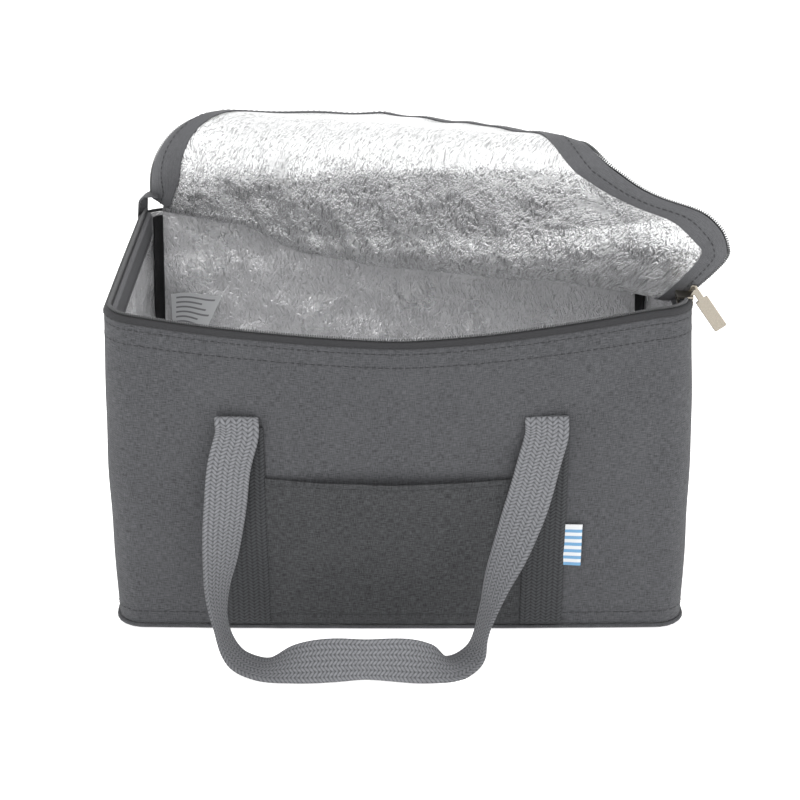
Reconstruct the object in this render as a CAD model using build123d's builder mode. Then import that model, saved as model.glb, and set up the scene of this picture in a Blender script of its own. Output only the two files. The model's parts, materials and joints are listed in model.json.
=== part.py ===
"""Insulated cooler bag: a soft box with a foam-cored wall, a zipped lid and two webbing handles.

Millimetres, +Z up, the front faces -Y. The origin is the centre of the base on the floor.
The lid is modelled part way open. It is drawn flat, as it lies when it is closed, and each
of its facets is then turned about the lid's two creases.
"""

import os
from math import cos, radians, sin, sqrt

from build123d import *

# The bag's outside, seen from above and from the front
WIDTH = 340.0
DEPTH = 215.0
HEIGHT = 200.0
CORNER_RADIUS = 16.0
RIM_BOW = 30.0  # how far the front stands out at the middle of the rim
BASE_BOW = 2.0  # the same at the floor

# The layers of a wall, from the outside in
SHELL = 0.95
FOAM = 3.95
LINER = 0.6
LAYER_GAP = 0.05
WALL = SHELL + FOAM + LINER + 2 * LAYER_GAP
WALL_TOP = 198.4
CORNER_SEAM_Y = 90.0  # the side panels stop here, and the front and back panels turn the corners

# Webbing, labels and bindings
WEB_WIDTH = 25.0
WEB_THICKNESS = 1.6
STRAP_CENTRES = (-90.0, 84.0)
STRAP_TOP = 141.0
SEAM_HEIGHT = 4.0
SEAM_STAND_OFF = 1.5
POCKET_TOP = 107.0
POCKET_STAND_OFF = 6.0
FACING_HEIGHT = 12.0
FACING_THICKNESS = 0.8
BINDING_THICKNESS = 0.5

# The zip lies level along the rim, and the lid's middle is level with it
ZIP_Z = 202.0
ZIP_TAPE = 0.8
COIL = 2.6
BODY_COIL_INSET = (2.8, 5.2)
LID_COIL_INSET = (6.5, 8.9)
LID_INSET = 15.0  # from the bag's outer face to the lid's foam panel
ZIP_END_Y = 94.0
HINGE_INSET = 6.6

# The slider, part way along the right side
SLIDER_Y = -84.0
SLIDER_LENGTH = 14.0
SLIDER_INSET = (1.3, 10.4)
SLIDER_PLATE = 1.0
SLIDER_GAP = 0.3
FLANGE = 1.0
PULL_AXIS = (169.4, 207.6)  # x and z of the bar that the pull hangs on
PULL_BAR_RADIUS = 0.8
PULL_CLEARANCE = 0.08
PULL_ANGLE = 35.0  # outwards from straight down

# The lid's two creases, drawn on the closed lid: one from the hinged corner to the slider, and a
# ridge that its front left part falls back over
APEX = (-163.0, DEPTH / 2 - HINGE_INSET)
CREASE_END = (164.3, SLIDER_Y)
SIDE_FOLD = 76.0  # the middle facet stands this far up from the zipped part
RIDGE_START = (-163.0, 44.0)
RIDGE_END = (67.4, -127.0)
CURL_FOLD = 114.0  # past the ridge, the front facet falls back by this much
CREASE_GAP = 4.0
CURL_GAP = 5.2
FAR = 700.0  # past the far side of the bag

os.makedirs("parts", exist_ok=True)


def save(builder, label):
    """Name a finished piece and write it."""
    builder.part.label = label
    export_step(builder.part, f"parts/{label}.step")


def outline(inset, bow):
    """The bag seen from above, drawn in from its outer face by inset."""
    half_width = WIDTH / 2 - inset
    half_depth = DEPTH / 2 - inset
    radius = max(CORNER_RADIUS - inset, 1.0)
    with BuildSketch() as shape:
        with BuildLine():
            Polyline(
                (-half_width, -half_depth),
                (-half_width, half_depth),
                (half_width, half_depth),
                (half_width, -half_depth),
            )
            ThreePointArc((half_width, -half_depth), (0, -half_depth - bow), (-half_width, -half_depth))
        make_face()
        fillet(shape.vertices(), radius)
    return shape.sketch


def bow_at(z):
    """How far the front stands out at height z."""
    return BASE_BOW + (RIM_BOW - BASE_BOW) * z / HEIGHT


def front_y(x, z):
    """The outer face of the front wall."""
    bow = bow_at(z)
    radius = ((WIDTH / 2) ** 2 + bow**2) / (2 * bow)
    return -DEPTH / 2 - (sqrt(radius**2 - x**2) - (radius - bow))


def wall_piece(label, insets, x_range, y_range, z_range):
    """The part of a shell between two insets that lies inside a box."""
    with BuildPart() as piece:
        for inset, mode in zip(insets, (Mode.ADD, Mode.SUBTRACT)):
            with BuildSketch(Plane.XY):
                add(outline(inset, BASE_BOW))
            with BuildSketch(Plane.XY.offset(HEIGHT)):
                add(outline(inset, RIM_BOW))
            loft(ruled=True, mode=mode)
        with Locations(tuple(sum(span) / 2 for span in (x_range, y_range, z_range))):
            Box(*[span[1] - span[0] for span in (x_range, y_range, z_range)], mode=Mode.INTERSECT)
    save(piece, label)


def rim_ring(label, insets, z_range, x_range=(-WIDTH, WIDTH), y_range=(-DEPTH, DEPTH)):
    """A level ring, or a stretch of one, that follows the rim."""
    with BuildPart() as piece:
        with BuildSketch(Plane.XY.offset(z_range[0])):
            add(outline(insets[0], RIM_BOW))
            add(outline(insets[1], RIM_BOW), mode=Mode.SUBTRACT)
            with Locations((sum(x_range) / 2, sum(y_range) / 2)):
                Rectangle(x_range[1] - x_range[0], y_range[1] - y_range[0], mode=Mode.INTERSECT)
        extrude(amount=z_range[1] - z_range[0])
    save(piece, label)


def plate(label, inset, z_range):
    """A flat panel inside the base."""
    with BuildPart() as piece:
        with BuildSketch(Plane.XY.offset(z_range[0])):
            add(outline(inset, BASE_BOW))
        extrude(amount=z_range[1] - z_range[0])
    save(piece, label)


# Walls. Each layer has a front, a back, a left and a right panel
EDGE = WIDTH / 2 + 1
SIDE_SPANS = {
    "front": ((-EDGE, EDGE), (-DEPTH, -CORNER_SEAM_Y)),
    "back": ((-EDGE, EDGE), (CORNER_SEAM_Y, DEPTH)),
    "left": ((-EDGE, 0), (-CORNER_SEAM_Y, CORNER_SEAM_Y)),
    "right": ((0, EDGE), (-CORNER_SEAM_Y, CORNER_SEAM_Y)),
}
FOAM_INSET = SHELL + LAYER_GAP
LINER_INSET = FOAM_INSET + FOAM + LAYER_GAP
LAYERS = {
    "shell": ((0, SHELL), SHELL + LAYER_GAP),
    "foam": ((FOAM_INSET, FOAM_INSET + FOAM), FOAM_INSET),
    "liner": ((LINER_INSET, WALL), LINER_INSET),
}
for layer, (layer_insets, layer_bottom) in LAYERS.items():
    for side, (side_x, side_y) in SIDE_SPANS.items():
        wall_piece(f"{layer}_{side}", layer_insets, side_x, side_y, (layer_bottom, WALL_TOP))

# Base panels
plate("shell_base", 0, (0, SHELL))
plate("foam_base", LINER_INSET, (FOAM_INSET, FOAM_INSET + FOAM))
plate("liner_base", WALL + LAYER_GAP, (LINER_INSET, WALL))

# The seam round the bottom edge
with BuildPart() as base_seam:
    with BuildSketch(Plane.XY):
        add(outline(-SEAM_STAND_OFF, BASE_BOW))
        add(outline(-4 * LAYER_GAP, bow_at(SEAM_HEIGHT)), mode=Mode.SUBTRACT)
    extrude(amount=SEAM_HEIGHT)
save(base_seam, "base_seam_binding")

# Dark tapes over the four upright seams inside
BINDING_INSET = WALL + LAYER_GAP
BINDING_X = WIDTH / 2 - CORNER_RADIUS
BINDING_TOP = WALL_TOP - FACING_HEIGHT - LAYER_GAP
for side, y_span in (("front", (-DEPTH, -CORNER_SEAM_Y)), ("back", (CORNER_SEAM_Y, DEPTH))):
    for hand, x_span in (("left", (-EDGE, -BINDING_X)), ("right", (BINDING_X, EDGE))):
        wall_piece(
            f"corner_binding_{side}_{hand}",
            (BINDING_INSET, BINDING_INSET + BINDING_THICKNESS),
            x_span,
            y_span,
            (WALL + 1, BINDING_TOP),
        )

# The band round the inside of the rim
wall_piece(
    "rim_facing",
    (BINDING_INSET, BINDING_INSET + FACING_THICKNESS),
    (-EDGE, EDGE),
    (-DEPTH, DEPTH),
    (WALL_TOP - FACING_HEIGHT, WALL_TOP),
)

# Zip tape on the body: an upright leg on the rim all round, and a level leg to the coil
TAPE_LEG = (0.2, 1.0)
TAPE_Z = (ZIP_Z - ZIP_TAPE / 2, ZIP_Z + ZIP_TAPE / 2)
with BuildPart() as body_tape:
    with BuildSketch(Plane.XY.offset(WALL_TOP + LAYER_GAP)):
        add(outline(TAPE_LEG[0], RIM_BOW))
        add(outline(TAPE_LEG[1], RIM_BOW), mode=Mode.SUBTRACT)
    extrude(amount=TAPE_Z[1] - WALL_TOP - LAYER_GAP)
    with BuildSketch(Plane.XY.offset(TAPE_Z[0])):
        add(outline(TAPE_LEG[0], RIM_BOW))
        add(outline(BODY_COIL_INSET[0], RIM_BOW), mode=Mode.SUBTRACT)
        with Locations((0, ZIP_END_Y - DEPTH)):
            Rectangle(2 * WIDTH, 2 * DEPTH, mode=Mode.INTERSECT)
    extrude(amount=ZIP_TAPE)
save(body_tape, "body_zip_tape")
rim_ring("body_zip_coil", BODY_COIL_INSET, (ZIP_Z - COIL / 2, ZIP_Z + COIL / 2), y_range=(-DEPTH, ZIP_END_Y))

# Fabric tabs over the two ends of the zip
TAB = (5.6, 3.0, COIL)
for hand, sign in (("left", -1), ("right", 1)):
    with BuildPart(Location((sign * 164.8, ZIP_END_Y + 0.4 + TAB[1] / 2, ZIP_Z))) as tab:
        Box(*TAB)
        fillet(tab.edges().filter_by(Axis.X), 0.6)
    save(tab, f"zip_end_tab_{hand}")

# The strip that joins the lid to the top of the back wall
HINGE_SPAN = 150.0
rim_ring(
    "lid_hinge_tape",
    (TAPE_LEG[1] + LAYER_GAP, HINGE_INSET - 0.6),
    TAPE_Z,
    (-HINGE_SPAN, HINGE_SPAN),
    (ZIP_END_Y, DEPTH),
)

# Webbing sewn down the front and back walls
STRAP_INSETS = (-0.1 - WEB_THICKNESS, -0.1)
for side, y_span in (("front", (-DEPTH, 0)), ("back", (0, DEPTH))):
    for hand, centre in zip(("left", "right"), STRAP_CENTRES):
        wall_piece(
            f"{side}_strap_{hand}",
            STRAP_INSETS,
            (centre - WEB_WIDTH / 2, centre + WEB_WIDTH / 2),
            y_span,
            (SEAM_HEIGHT + 0.2, STRAP_TOP),
        )

# The open pocket between the front straps, which stands off the wall at its mouth
POCKET_X = (STRAP_CENTRES[0] + WEB_WIDTH / 2 + 0.3, STRAP_CENTRES[1] - WEB_WIDTH / 2 - 0.3)
POCKET_GAP = 0.3
with BuildPart() as pocket:
    for z, stand_off in ((SEAM_HEIGHT + 0.2, 0.5), (POCKET_TOP, POCKET_STAND_OFF)):
        left, right = [front_y(x, z) - POCKET_GAP for x in POCKET_X]
        middle_x = sum(POCKET_X) / 2
        middle = front_y(middle_x, z) - POCKET_GAP - stand_off
        with BuildSketch(Plane.XY.offset(z)):
            with BuildLine():
                ThreePointArc((POCKET_X[0], left), (middle_x, middle), (POCKET_X[1], right))
                Line((POCKET_X[1], right), (POCKET_X[1], right - SHELL))
                ThreePointArc(
                    (POCKET_X[1], right - SHELL), (middle_x, middle - SHELL), (POCKET_X[0], left - SHELL)
                )
                Line((POCKET_X[0], left - SHELL), (POCKET_X[0], left))
            make_face()
    loft(ruled=True)
save(pocket, "front_pocket")

# A small folded label at the edge of the right strap, and a sewn-in label inside
FLAG = (11.0, 0.6, 28.0)
FLAG_CENTRE = (STRAP_CENTRES[1] + WEB_WIDTH / 2 + 0.3 + FLAG[0] / 2, 60.0)
flag_y = front_y(STRAP_CENTRES[1] + WEB_WIDTH / 2, FLAG_CENTRE[1]) - 1.8
with BuildPart(Location((FLAG_CENTRE[0], flag_y, FLAG_CENTRE[1]))) as flag_label:
    Box(*FLAG)
save(flag_label, "flag_label")

CARE = (34.0, 0.3, 28.0)
with BuildPart(Location((-135.0, DEPTH / 2 - WALL - 0.3, 129.0))) as care_label:
    Box(*CARE)
save(care_label, "care_label")


def crease_direction(start, end):
    return Vector(end[0] - start[0], end[1] - start[1], 0).normalized()


def beside(start, end, gap):
    """The half of the closed lid's plane clockwise of a line, kept clear of it by gap."""
    along = crease_direction(start, end)
    across = Vector(along.Y, -along.X, 0)
    near = Vector(*start) + across * gap
    corners = [near - along * FAR, near + along * FAR]
    corners += [corners[1] + across * FAR, corners[0] + across * FAR]
    with BuildSketch() as shape:
        with BuildLine():
            Polyline(*[(p.X, p.Y) for p in corners], close=True)
        make_face()
    return shape.sketch


def facet_plane(origin, folds):
    """The closed lid's plane, turned about each crease in folds. origin is on the last crease."""
    x_dir = Vector(1, 0, 0)
    z_dir = Vector(0, 0, 1)
    place = Vector(*origin) - Vector(*APEX)
    for number, (direction, fold) in enumerate(reversed(folds)):
        crease = Axis((0, 0, 0), direction)
        x_dir = x_dir.rotate(crease, -fold)
        z_dir = z_dir.rotate(crease, -fold)
        if number:
            place = place.rotate(crease, -fold)
    return Plane(origin=Vector(*APEX, ZIP_Z) + place, x_dir=x_dir, z_dir=z_dir)


def lid_piece(label, facet, insets, heights, keep=((-WIDTH, WIDTH), (-DEPTH, DEPTH))):
    """One layer or strip of a facet, drawn flat and laid on the facet's plane."""
    region, origin, plane = facet
    (x_low, x_high), (y_low, y_high) = keep
    with BuildSketch() as flat:
        add(outline(insets[0], RIM_BOW))
        if len(insets) > 1:
            add(outline(insets[1], RIM_BOW), mode=Mode.SUBTRACT)
        with Locations(((x_low + x_high) / 2, (y_low + y_high) / 2)):
            Rectangle(x_high - x_low, y_high - y_low, mode=Mode.INTERSECT)
        add(region, mode=Mode.INTERSECT)
    with BuildPart() as piece:
        with BuildSketch(plane.offset(heights[0])):
            with Locations((-origin[0], -origin[1])):
                add(flat.sketch)
        extrude(amount=heights[1] - heights[0])
    save(piece, label)


# The lid: the rear facet stays level, the side facet stands up, and the front one falls back
FIRST_CREASE = crease_direction(APEX, CREASE_END)
RIDGE = crease_direction(RIDGE_START, RIDGE_END)
side_region = beside(APEX, CREASE_END, CREASE_GAP) - beside(RIDGE_START, RIDGE_END, -CURL_GAP)
LID_FACETS = {
    "rear": (beside(CREASE_END, APEX, CREASE_GAP), APEX, facet_plane(APEX, [])),
    "side": (side_region, APEX, facet_plane(APEX, [(FIRST_CREASE, SIDE_FOLD)])),
    "front": (
        beside(RIDGE_START, RIDGE_END, CURL_GAP),
        RIDGE_START,
        facet_plane(RIDGE_START, [(FIRST_CREASE, SIDE_FOLD), (RIDGE, CURL_FOLD)]),
    ),
}
LID_HALF = (SHELL + FOAM + LINER) / 2 + LAYER_GAP
LID_LAYERS = {
    "shell": (LID_HALF - SHELL, LID_HALF),
    "foam": (LID_HALF - SHELL - LAYER_GAP - FOAM, LID_HALF - SHELL - LAYER_GAP),
    "liner": (-LID_HALF, LINER - LID_HALF),
}
SLIDER_FRONT = SLIDER_Y - SLIDER_LENGTH / 2
SLIDER_BACK = SLIDER_Y + SLIDER_LENGTH / 2
ZIPPED = ((100, WIDTH), (SLIDER_BACK + 0.5, 88))
IN_FRONT = ((-WIDTH, WIDTH), (-DEPTH, SLIDER_FRONT - 2))
UNZIPPED = ((-WIDTH, WIDTH), (-DEPTH, 92))
ON_LEFT = ((-WIDTH, 0), (0, 92))
STRIPS = {"rear": ("rear", ZIPPED), "side": ("side", IN_FRONT), "front": ("front", UNZIPPED)}
STRIPS["side_left"] = ("side", ON_LEFT)
LID_FACING_INSET = 11.0
LID_FACING_HEIGHT = (-1.4, -0.5)
for name, facet in LID_FACETS.items():
    for layer, layer_heights in LID_LAYERS.items():
        lid_piece(f"lid_{name}_{layer}", facet, (LID_INSET + LAYER_GAP,), layer_heights)
for name, (facet_name, window) in STRIPS.items():
    facet = LID_FACETS[facet_name]
    lid_piece(f"lid_{name}_zip_coil", facet, LID_COIL_INSET, (-COIL / 2, COIL / 2), window)
    tape_height = (-ZIP_TAPE / 2, ZIP_TAPE / 2)
    lid_piece(f"lid_{name}_zip_tape", facet, (LID_COIL_INSET[1], LID_INSET), tape_height, window)
    lid_piece(f"lid_{name}_facing", facet, (LID_FACING_INSET, LID_INSET), LID_FACING_HEIGHT, window)
lid_piece(
    "lid_rear_hinge_tape",
    LID_FACETS["rear"],
    (HINGE_INSET + 0.6, LID_INSET),
    (-ZIP_TAPE / 2, ZIP_TAPE / 2),
    ((-HINGE_SPAN, HINGE_SPAN), (89, DEPTH)),
)

# The slider: two plates with turned-in flanges, joined by a blade between the two coils,
# and a bridge on top whose bar carries the pull
slider_x = WIDTH / 2 - sum(SLIDER_INSET) / 2
slider_width = SLIDER_INSET[1] - SLIDER_INSET[0]
channel = COIL / 2 + SLIDER_GAP
slot = ZIP_TAPE / 2 + SLIDER_GAP
blade_x = WIDTH / 2 - (BODY_COIL_INSET[1] + LID_COIL_INSET[0]) / 2
with BuildPart() as slider:
    for side in (-1, 1):
        with Locations((slider_x, SLIDER_Y, ZIP_Z + side * (channel + SLIDER_PLATE / 2))):
            Box(slider_width, SLIDER_LENGTH, SLIDER_PLATE)
        for hand in (-1, 1):
            flange_x = slider_x + hand * (slider_width - FLANGE) / 2
            with Locations((flange_x, SLIDER_Y, ZIP_Z + side * (channel + slot) / 2)):
                Box(FLANGE, SLIDER_LENGTH, channel - slot)
    fillet(slider.edges().filter_by(Axis.Z).group_by(Axis.Y)[0], 0.4)
    fillet(slider.edges().filter_by(Axis.Z).group_by(Axis.Y)[-1], 0.4)
    with Locations((blade_x, SLIDER_Y - SLIDER_LENGTH / 4, ZIP_Z)):
        Box(0.6, SLIDER_LENGTH / 2 - 1, 2 * channel)
    leg_top = Vector(PULL_AXIS[0], 0, PULL_AXIS[1])
    leg_foot = Vector(WIDTH / 2 - SLIDER_INSET[0] - 1.2, 0, ZIP_Z + channel + SLIDER_PLATE / 2)
    leg = leg_top - leg_foot
    bridge_plane = Plane(
        origin=(leg_foot.X, SLIDER_Y, leg_foot.Z), x_dir=(0, 1, 0), z_dir=leg.cross(Vector(0, 1, 0))
    )
    with BuildSketch(bridge_plane):
        with Locations((-4.2, -leg.length / 2), (4.2, -leg.length / 2)):
            Rectangle(1.6, leg.length)
    extrude(amount=PULL_BAR_RADIUS, both=True)
    with Locations(Location((PULL_AXIS[0], SLIDER_Y, PULL_AXIS[1]), (90, 0, 0))):
        Cylinder(PULL_BAR_RADIUS, 10.0)
save(slider, "zip_slider")

# The pull: a flat tab with an eye round the bar, drawn hanging down and then swung out
PULL_PLANE = Plane(
    origin=(PULL_AXIS[0], SLIDER_Y, PULL_AXIS[1]),
    x_dir=(cos(radians(PULL_ANGLE)), 0, sin(radians(PULL_ANGLE))),
    z_dir=(0, -1, 0),
)
with BuildPart() as pull:
    with BuildSketch(PULL_PLANE):
        Circle(2.0)
        with Locations((0, -4.6)):
            Rectangle(4.0, 9.2)
        with Locations((0, -19.0)):
            RectangleRounded(8.0, 22.0, 1.2)
        Circle(PULL_BAR_RADIUS + PULL_CLEARANCE, mode=Mode.SUBTRACT)
    extrude(amount=0.75, both=True)
    chamfer(pull.faces().filter_by(Axis.Y).edges().filter_by(GeomType.LINE), 0.25)
save(pull, "zip_pull")

# Handles. Each station of the front handle is a point on the webbing's middle line and the
# direction across it. The legs twist from face on to edge on, and the loop stands on the floor
HINGE_Z = STRAP_TOP + 1.6
HANDLE_STATIONS = (
    ((-95.0, -129.2, HINGE_Z), (1, 0, 0)),
    ((-98.0, -131.0, 115.0), (1, 0, 0)),
    ((-101.0, -132.5, 88.0), (0.97, 0.26, 0)),
    ((-104.0, -135.0, 62.0), (0.79, 0.61, 0)),
    ((-106.0, -138.0, 38.0), (0.45, 0.89, 0)),
    ((-104.0, -143.0, 17.0), (0.15, 0.99, 0)),
    ((-95.0, -153.0, 4.5), (0.08, 1, 0)),
    ((-80.0, -162.0, 2.0), (0.2, 0.98, 0.03)),
    ((-60.0, -168.0, 8.6), (0.1, 0.8, 0.6)),
    ((-40.0, -170.5, 12.0), (0, 0.45, 0.89)),
    ((-20.0, -171.5, 13.2), (0, 0.1, 0.99)),
    ((0.0, -171.0, 12.4), (0, 0.35, 0.93)),
    ((18.0, -167.5, 8.6), (-0.1, 0.8, 0.6)),
    ((33.0, -159.0, 2.2), (-0.3, 0.95, 0.03)),
    ((44.0, -148.0, 6.5), (-0.2, 0.98, 0)),
    ((50.0, -139.5, 24.0), (-0.25, 0.97, 0)),
    ((57.0, -136.0, 46.0), (-0.5, 0.87, 0)),
    ((66.0, -133.5, 70.0), (-0.82, 0.57, 0)),
    ((74.0, -131.5, 95.0), (-0.98, 0.17, 0)),
    ((79.5, -131.0, 118.0), (-1, 0, 0)),
    ((83.5, -129.2, HINGE_Z), (-1, 0, 0)),
)
BACK_HINGE_Y = DEPTH / 2 + 6.0
BACK_SHIFT = BACK_HINGE_Y + HANDLE_STATIONS[0][0][1]
PIVOT_RADIUS = 1.0
for side in ("front", "back"):
    if side == "front":
        stations = [(Vector(*point), Vector(*across)) for point, across in HANDLE_STATIONS]
    else:
        stations = [
            (Vector(x, BACK_SHIFT - y, z), Vector(across_x, -across_y, across_z))
            for (x, y, z), (across_x, across_y, across_z) in HANDLE_STATIONS
        ]
    with BuildPart() as handle:
        for number, (point, across) in enumerate(stations):
            before = stations[max(number - 1, 0)][0]
            after = stations[min(number + 1, len(stations) - 1)][0]
            along = after - before
            along = along - across.normalized() * along.dot(across.normalized())
            with BuildSketch(Plane(origin=point, x_dir=across, z_dir=along)):
                Rectangle(WEB_WIDTH, WEB_THICKNESS)
        loft(ruled=True)
        for point, _ in (stations[0], stations[-1]):
            with Locations(Location(point, (0, 90, 0))):
                Cylinder(PIVOT_RADIUS, WEB_WIDTH)
    save(handle, f"{side}_handle")
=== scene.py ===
"""A soft insulated cooler bag with a part-open zipped lid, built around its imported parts.

It is laid out as an add-on and is run as a script: the sizes and colours stand in property groups,
each piece or group of like pieces has an operator, and main() calls them in order.
"""

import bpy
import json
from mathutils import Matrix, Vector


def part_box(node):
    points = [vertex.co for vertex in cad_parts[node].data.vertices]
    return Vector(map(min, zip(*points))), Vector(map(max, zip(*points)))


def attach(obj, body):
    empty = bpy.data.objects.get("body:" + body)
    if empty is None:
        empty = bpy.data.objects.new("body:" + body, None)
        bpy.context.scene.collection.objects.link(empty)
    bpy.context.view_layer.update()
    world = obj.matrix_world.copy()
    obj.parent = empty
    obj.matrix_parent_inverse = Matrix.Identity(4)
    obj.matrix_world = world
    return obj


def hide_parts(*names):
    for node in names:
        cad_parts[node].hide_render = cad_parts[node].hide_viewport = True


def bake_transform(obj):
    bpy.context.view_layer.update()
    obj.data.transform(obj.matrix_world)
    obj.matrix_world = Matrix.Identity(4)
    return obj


bl_info = {
    "name": "Cooler bag",
    "version": (1, 0, 0),
    "blender": (4, 5, 0),
    "location": "3D View > Sidebar > Cooler bag",
    "description": "Builds the fabric, foil, zip, webbing and metal of a soft cooler bag",
    "category": "Object",
}

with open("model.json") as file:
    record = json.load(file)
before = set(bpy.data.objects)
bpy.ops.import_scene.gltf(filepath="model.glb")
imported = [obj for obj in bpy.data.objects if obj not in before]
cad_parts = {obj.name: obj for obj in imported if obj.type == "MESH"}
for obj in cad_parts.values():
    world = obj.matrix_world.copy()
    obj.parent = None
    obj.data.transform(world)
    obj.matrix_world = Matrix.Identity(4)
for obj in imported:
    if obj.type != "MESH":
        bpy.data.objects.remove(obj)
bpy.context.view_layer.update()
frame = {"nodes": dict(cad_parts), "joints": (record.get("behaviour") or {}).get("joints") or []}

import json
import math

import bpy
import numpy as np
from bpy.props import FloatProperty, FloatVectorProperty, PointerProperty
from mathutils import Vector

HANDLE_FOLD_Y = -0.1292
LID_PANEL_INSET = 0.0150


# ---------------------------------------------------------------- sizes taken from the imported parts


def low(node, axis):
    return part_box(node)[0]["xyz".index(axis)]


def high(node, axis):
    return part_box(node)[1]["xyz".index(axis)]


BODY_WIDTH = high("shell_right", "x") - low("shell_left", "x")
BODY_DEPTH = 2 * high("shell_back", "y")
BODY_HEIGHT = 0.200
RIM_BOW = -low("shell_front", "y") - BODY_DEPTH / 2
HINGE = next(j for j in frame["joints"] if j["name"] == "lid_hinge")
FOLD = next(j for j in frame["joints"] if j["name"] == "lid_side_fold")
CURL = next(j for j in frame["joints"] if j["name"] == "lid_front_curl")


def length(name, text, value, low_limit=0.0, high_limit=1.0):
    return FloatProperty(
        name=name, description=text, default=value, min=low_limit, max=high_limit, unit="LENGTH", precision=4
    )


def angle(name, text, degrees):
    return FloatProperty(name=name, description=text, default=math.radians(degrees), unit="ROTATION")


def colour(name, text, rgb):
    return FloatVectorProperty(
        name=name, description=text, default=(*rgb, 1.0), size=4, min=0.0, max=1.0, subtype="COLOR"
    )


class BagSizes(bpy.types.PropertyGroup):
    """The sizes that the cloth, foil, zip and webbing are cut to"""

    width: length("Width", "Outside width of the walls", BODY_WIDTH)
    depth: length("Depth", "Outside depth of the walls at the sides", BODY_DEPTH)
    height: length("Height", "Height of the walls up to the zip", BODY_HEIGHT)
    corner: length("Corner radius", "Radius of the upright corners", 0.016)
    rim_bow: length("Rim bow", "How far the front wall bulges at the rim", RIM_BOW)
    base_bow: length("Base bow", "How far the front wall bulges at the base", 0.002)
    wall: length("Wall", "Thickness of fabric, foam and foil together", 0.0056)
    cloth: length("Cloth", "Thickness of the outer fabric", 0.0009)
    foil: length("Foil", "Thickness of the foil lining", 0.0005)
    wall_bulge: length("Wall bulge", "How far the walls swell at half height", 0.0022)
    cloth_relief: length("Cloth relief", "Depth of the soft unevenness in the walls", 0.0006)
    foil_relief: length("Foil relief", "Depth of the soft creases in the foil", 0.0011)
    facing: length("Facing", "Width of the band inside the rim", 0.018)
    tape: length("Corner tape", "Width of the seam tape in the inner corners", 0.0085)
    lid_inset: length("Lid inset", "Gap from the outside of the walls to the lid's edge", 0.0064)
    lid_half: length("Lid half thickness", "Half the thickness of the lid", 0.0028)
    zip_pitch: length("Zip pitch", "Distance between the turns of the zip's coil", 0.00135)
    tooth: length("Tooth", "Width of the zip's coil", 0.0026)
    stitch: length("Stitch", "Length of one stitch", 0.0027)
    stitch_gap: length("Stitch gap", "Gap between stitches", 0.0011)
    thread: length("Thread", "Thickness of the sewing thread", 0.00042)
    webbing: length("Webbing width", "Width of the straps and handles", 0.025)
    webbing_thick: length("Webbing thickness", "Thickness of the straps and handles", 0.0016)
    strap_left: length("Left strap", "Place of the left strap's middle", -0.090, -1.0)
    strap_right: length("Right strap", "Place of the right strap's middle", 0.084, -1.0)
    strap_top: length("Strap top", "Height at which the handle folds over", 0.141)
    pocket_top: length("Pocket top", "Height of the pocket's mouth", 0.107)
    pocket_gap: length("Pocket gap", "How far the pocket's mouth stands off the wall", 0.0045)


class LidSizes(bpy.types.PropertyGroup):
    """How the lid folds back about its hinged corner"""

    side_fold: angle("Side fold", "How far the lid stands up at its first fold", 76.1)
    side_spread: FloatProperty(name="Fold spread", description="Half the fold's width in degrees", default=6.0)
    ridge_left: length("Ridge left", "Where the ridge meets the left edge of the flat lid", 0.044, -1.0)
    ridge_right: length("Ridge right", "Where the ridge meets the front edge of the flat lid", 0.0674, -1.0)
    curl_fold: angle("Front fold", "How far the front left part falls back over the ridge", 114.4)
    radius_left: length("Left radius", "Radius of the ridge at the left edge", 0.0302)
    radius_right: length("Right radius", "Radius of the ridge at the front edge", 0.010)
    seam: angle("Seam", "The line between the lid's two pieces", 8.0)
    sag: length("Sag", "How far the first fold hangs into the bag", 0.012)
    corner_out: length("Corner out", "How far the front right corner leans outwards", 0.022)
    corner_up: length("Corner up", "How far the front right corner lifts", 0.0199)
    left_out: length("Left edge out", "How far the left edge bulges", 0.0135)
    relief: length("Relief", "Depth of the lid's soft unevenness", 0.0009)


class BagColours(bpy.types.PropertyGroup):
    """The colours of the cloth, foil, tape, webbing and metal"""

    melange: colour("Fabric", "Outer fabric", (0.059, 0.060, 0.064))
    pocket: colour("Pocket", "Pocket fabric", (0.039, 0.040, 0.042))
    facing: colour("Facing", "Band inside the rim", (0.086, 0.087, 0.092))
    # the corner tapes are real, and their near-black colour also paints the shade that falls in the inner
    # corners
    binding: colour("Binding", "Seam tape in the inner corners", (0.012, 0.012, 0.013))
    zip_tape: colour("Zip tape", "Woven tape of the zip", (0.026, 0.026, 0.028))
    zip_coil: colour("Zip coil", "Nylon coil of the zip", (0.055, 0.056, 0.058))
    webbing: colour("Webbing", "Handles", (0.108, 0.110, 0.117))
    # painted shade: the sewn straps are the same webbing as the handles, and their colour is a much darker
    # copy of the handles' to paint the shade on them
    strap: colour("Strap", "Straps sewn to the walls", (0.023, 0.024, 0.026))
    foil: colour("Foil", "Reflective lining of the walls", (0.95, 0.95, 0.96))
    # painted shade: the lid's foil is the same film as the walls' lining, given a darker copy of its colour to
    # dim its reflections
    lid_foil: colour("Lid foil", "Reflective lining of the lid", (0.80, 0.805, 0.81))
    foam: colour("Foam", "Insulating foam", (0.60, 0.60, 0.58))
    thread: colour("Thread", "Sewing thread", (0.018, 0.018, 0.020))
    label: colour("Label", "Satin labels", (0.56, 0.57, 0.58))
    print_blue: colour("Label print", "Stripes on the folded label", (0.10, 0.26, 0.44))
    print_grey: colour("Label grey", "Bars on the inner label", (0.20, 0.20, 0.21))
    metal: colour("Metal", "Slider and pull", (0.27, 0.245, 0.205))
    floor: colour("Floor", "Studio floor", (0.93, 0.93, 0.93))


# ---------------------------------------------------------------- the bag's shape


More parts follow.
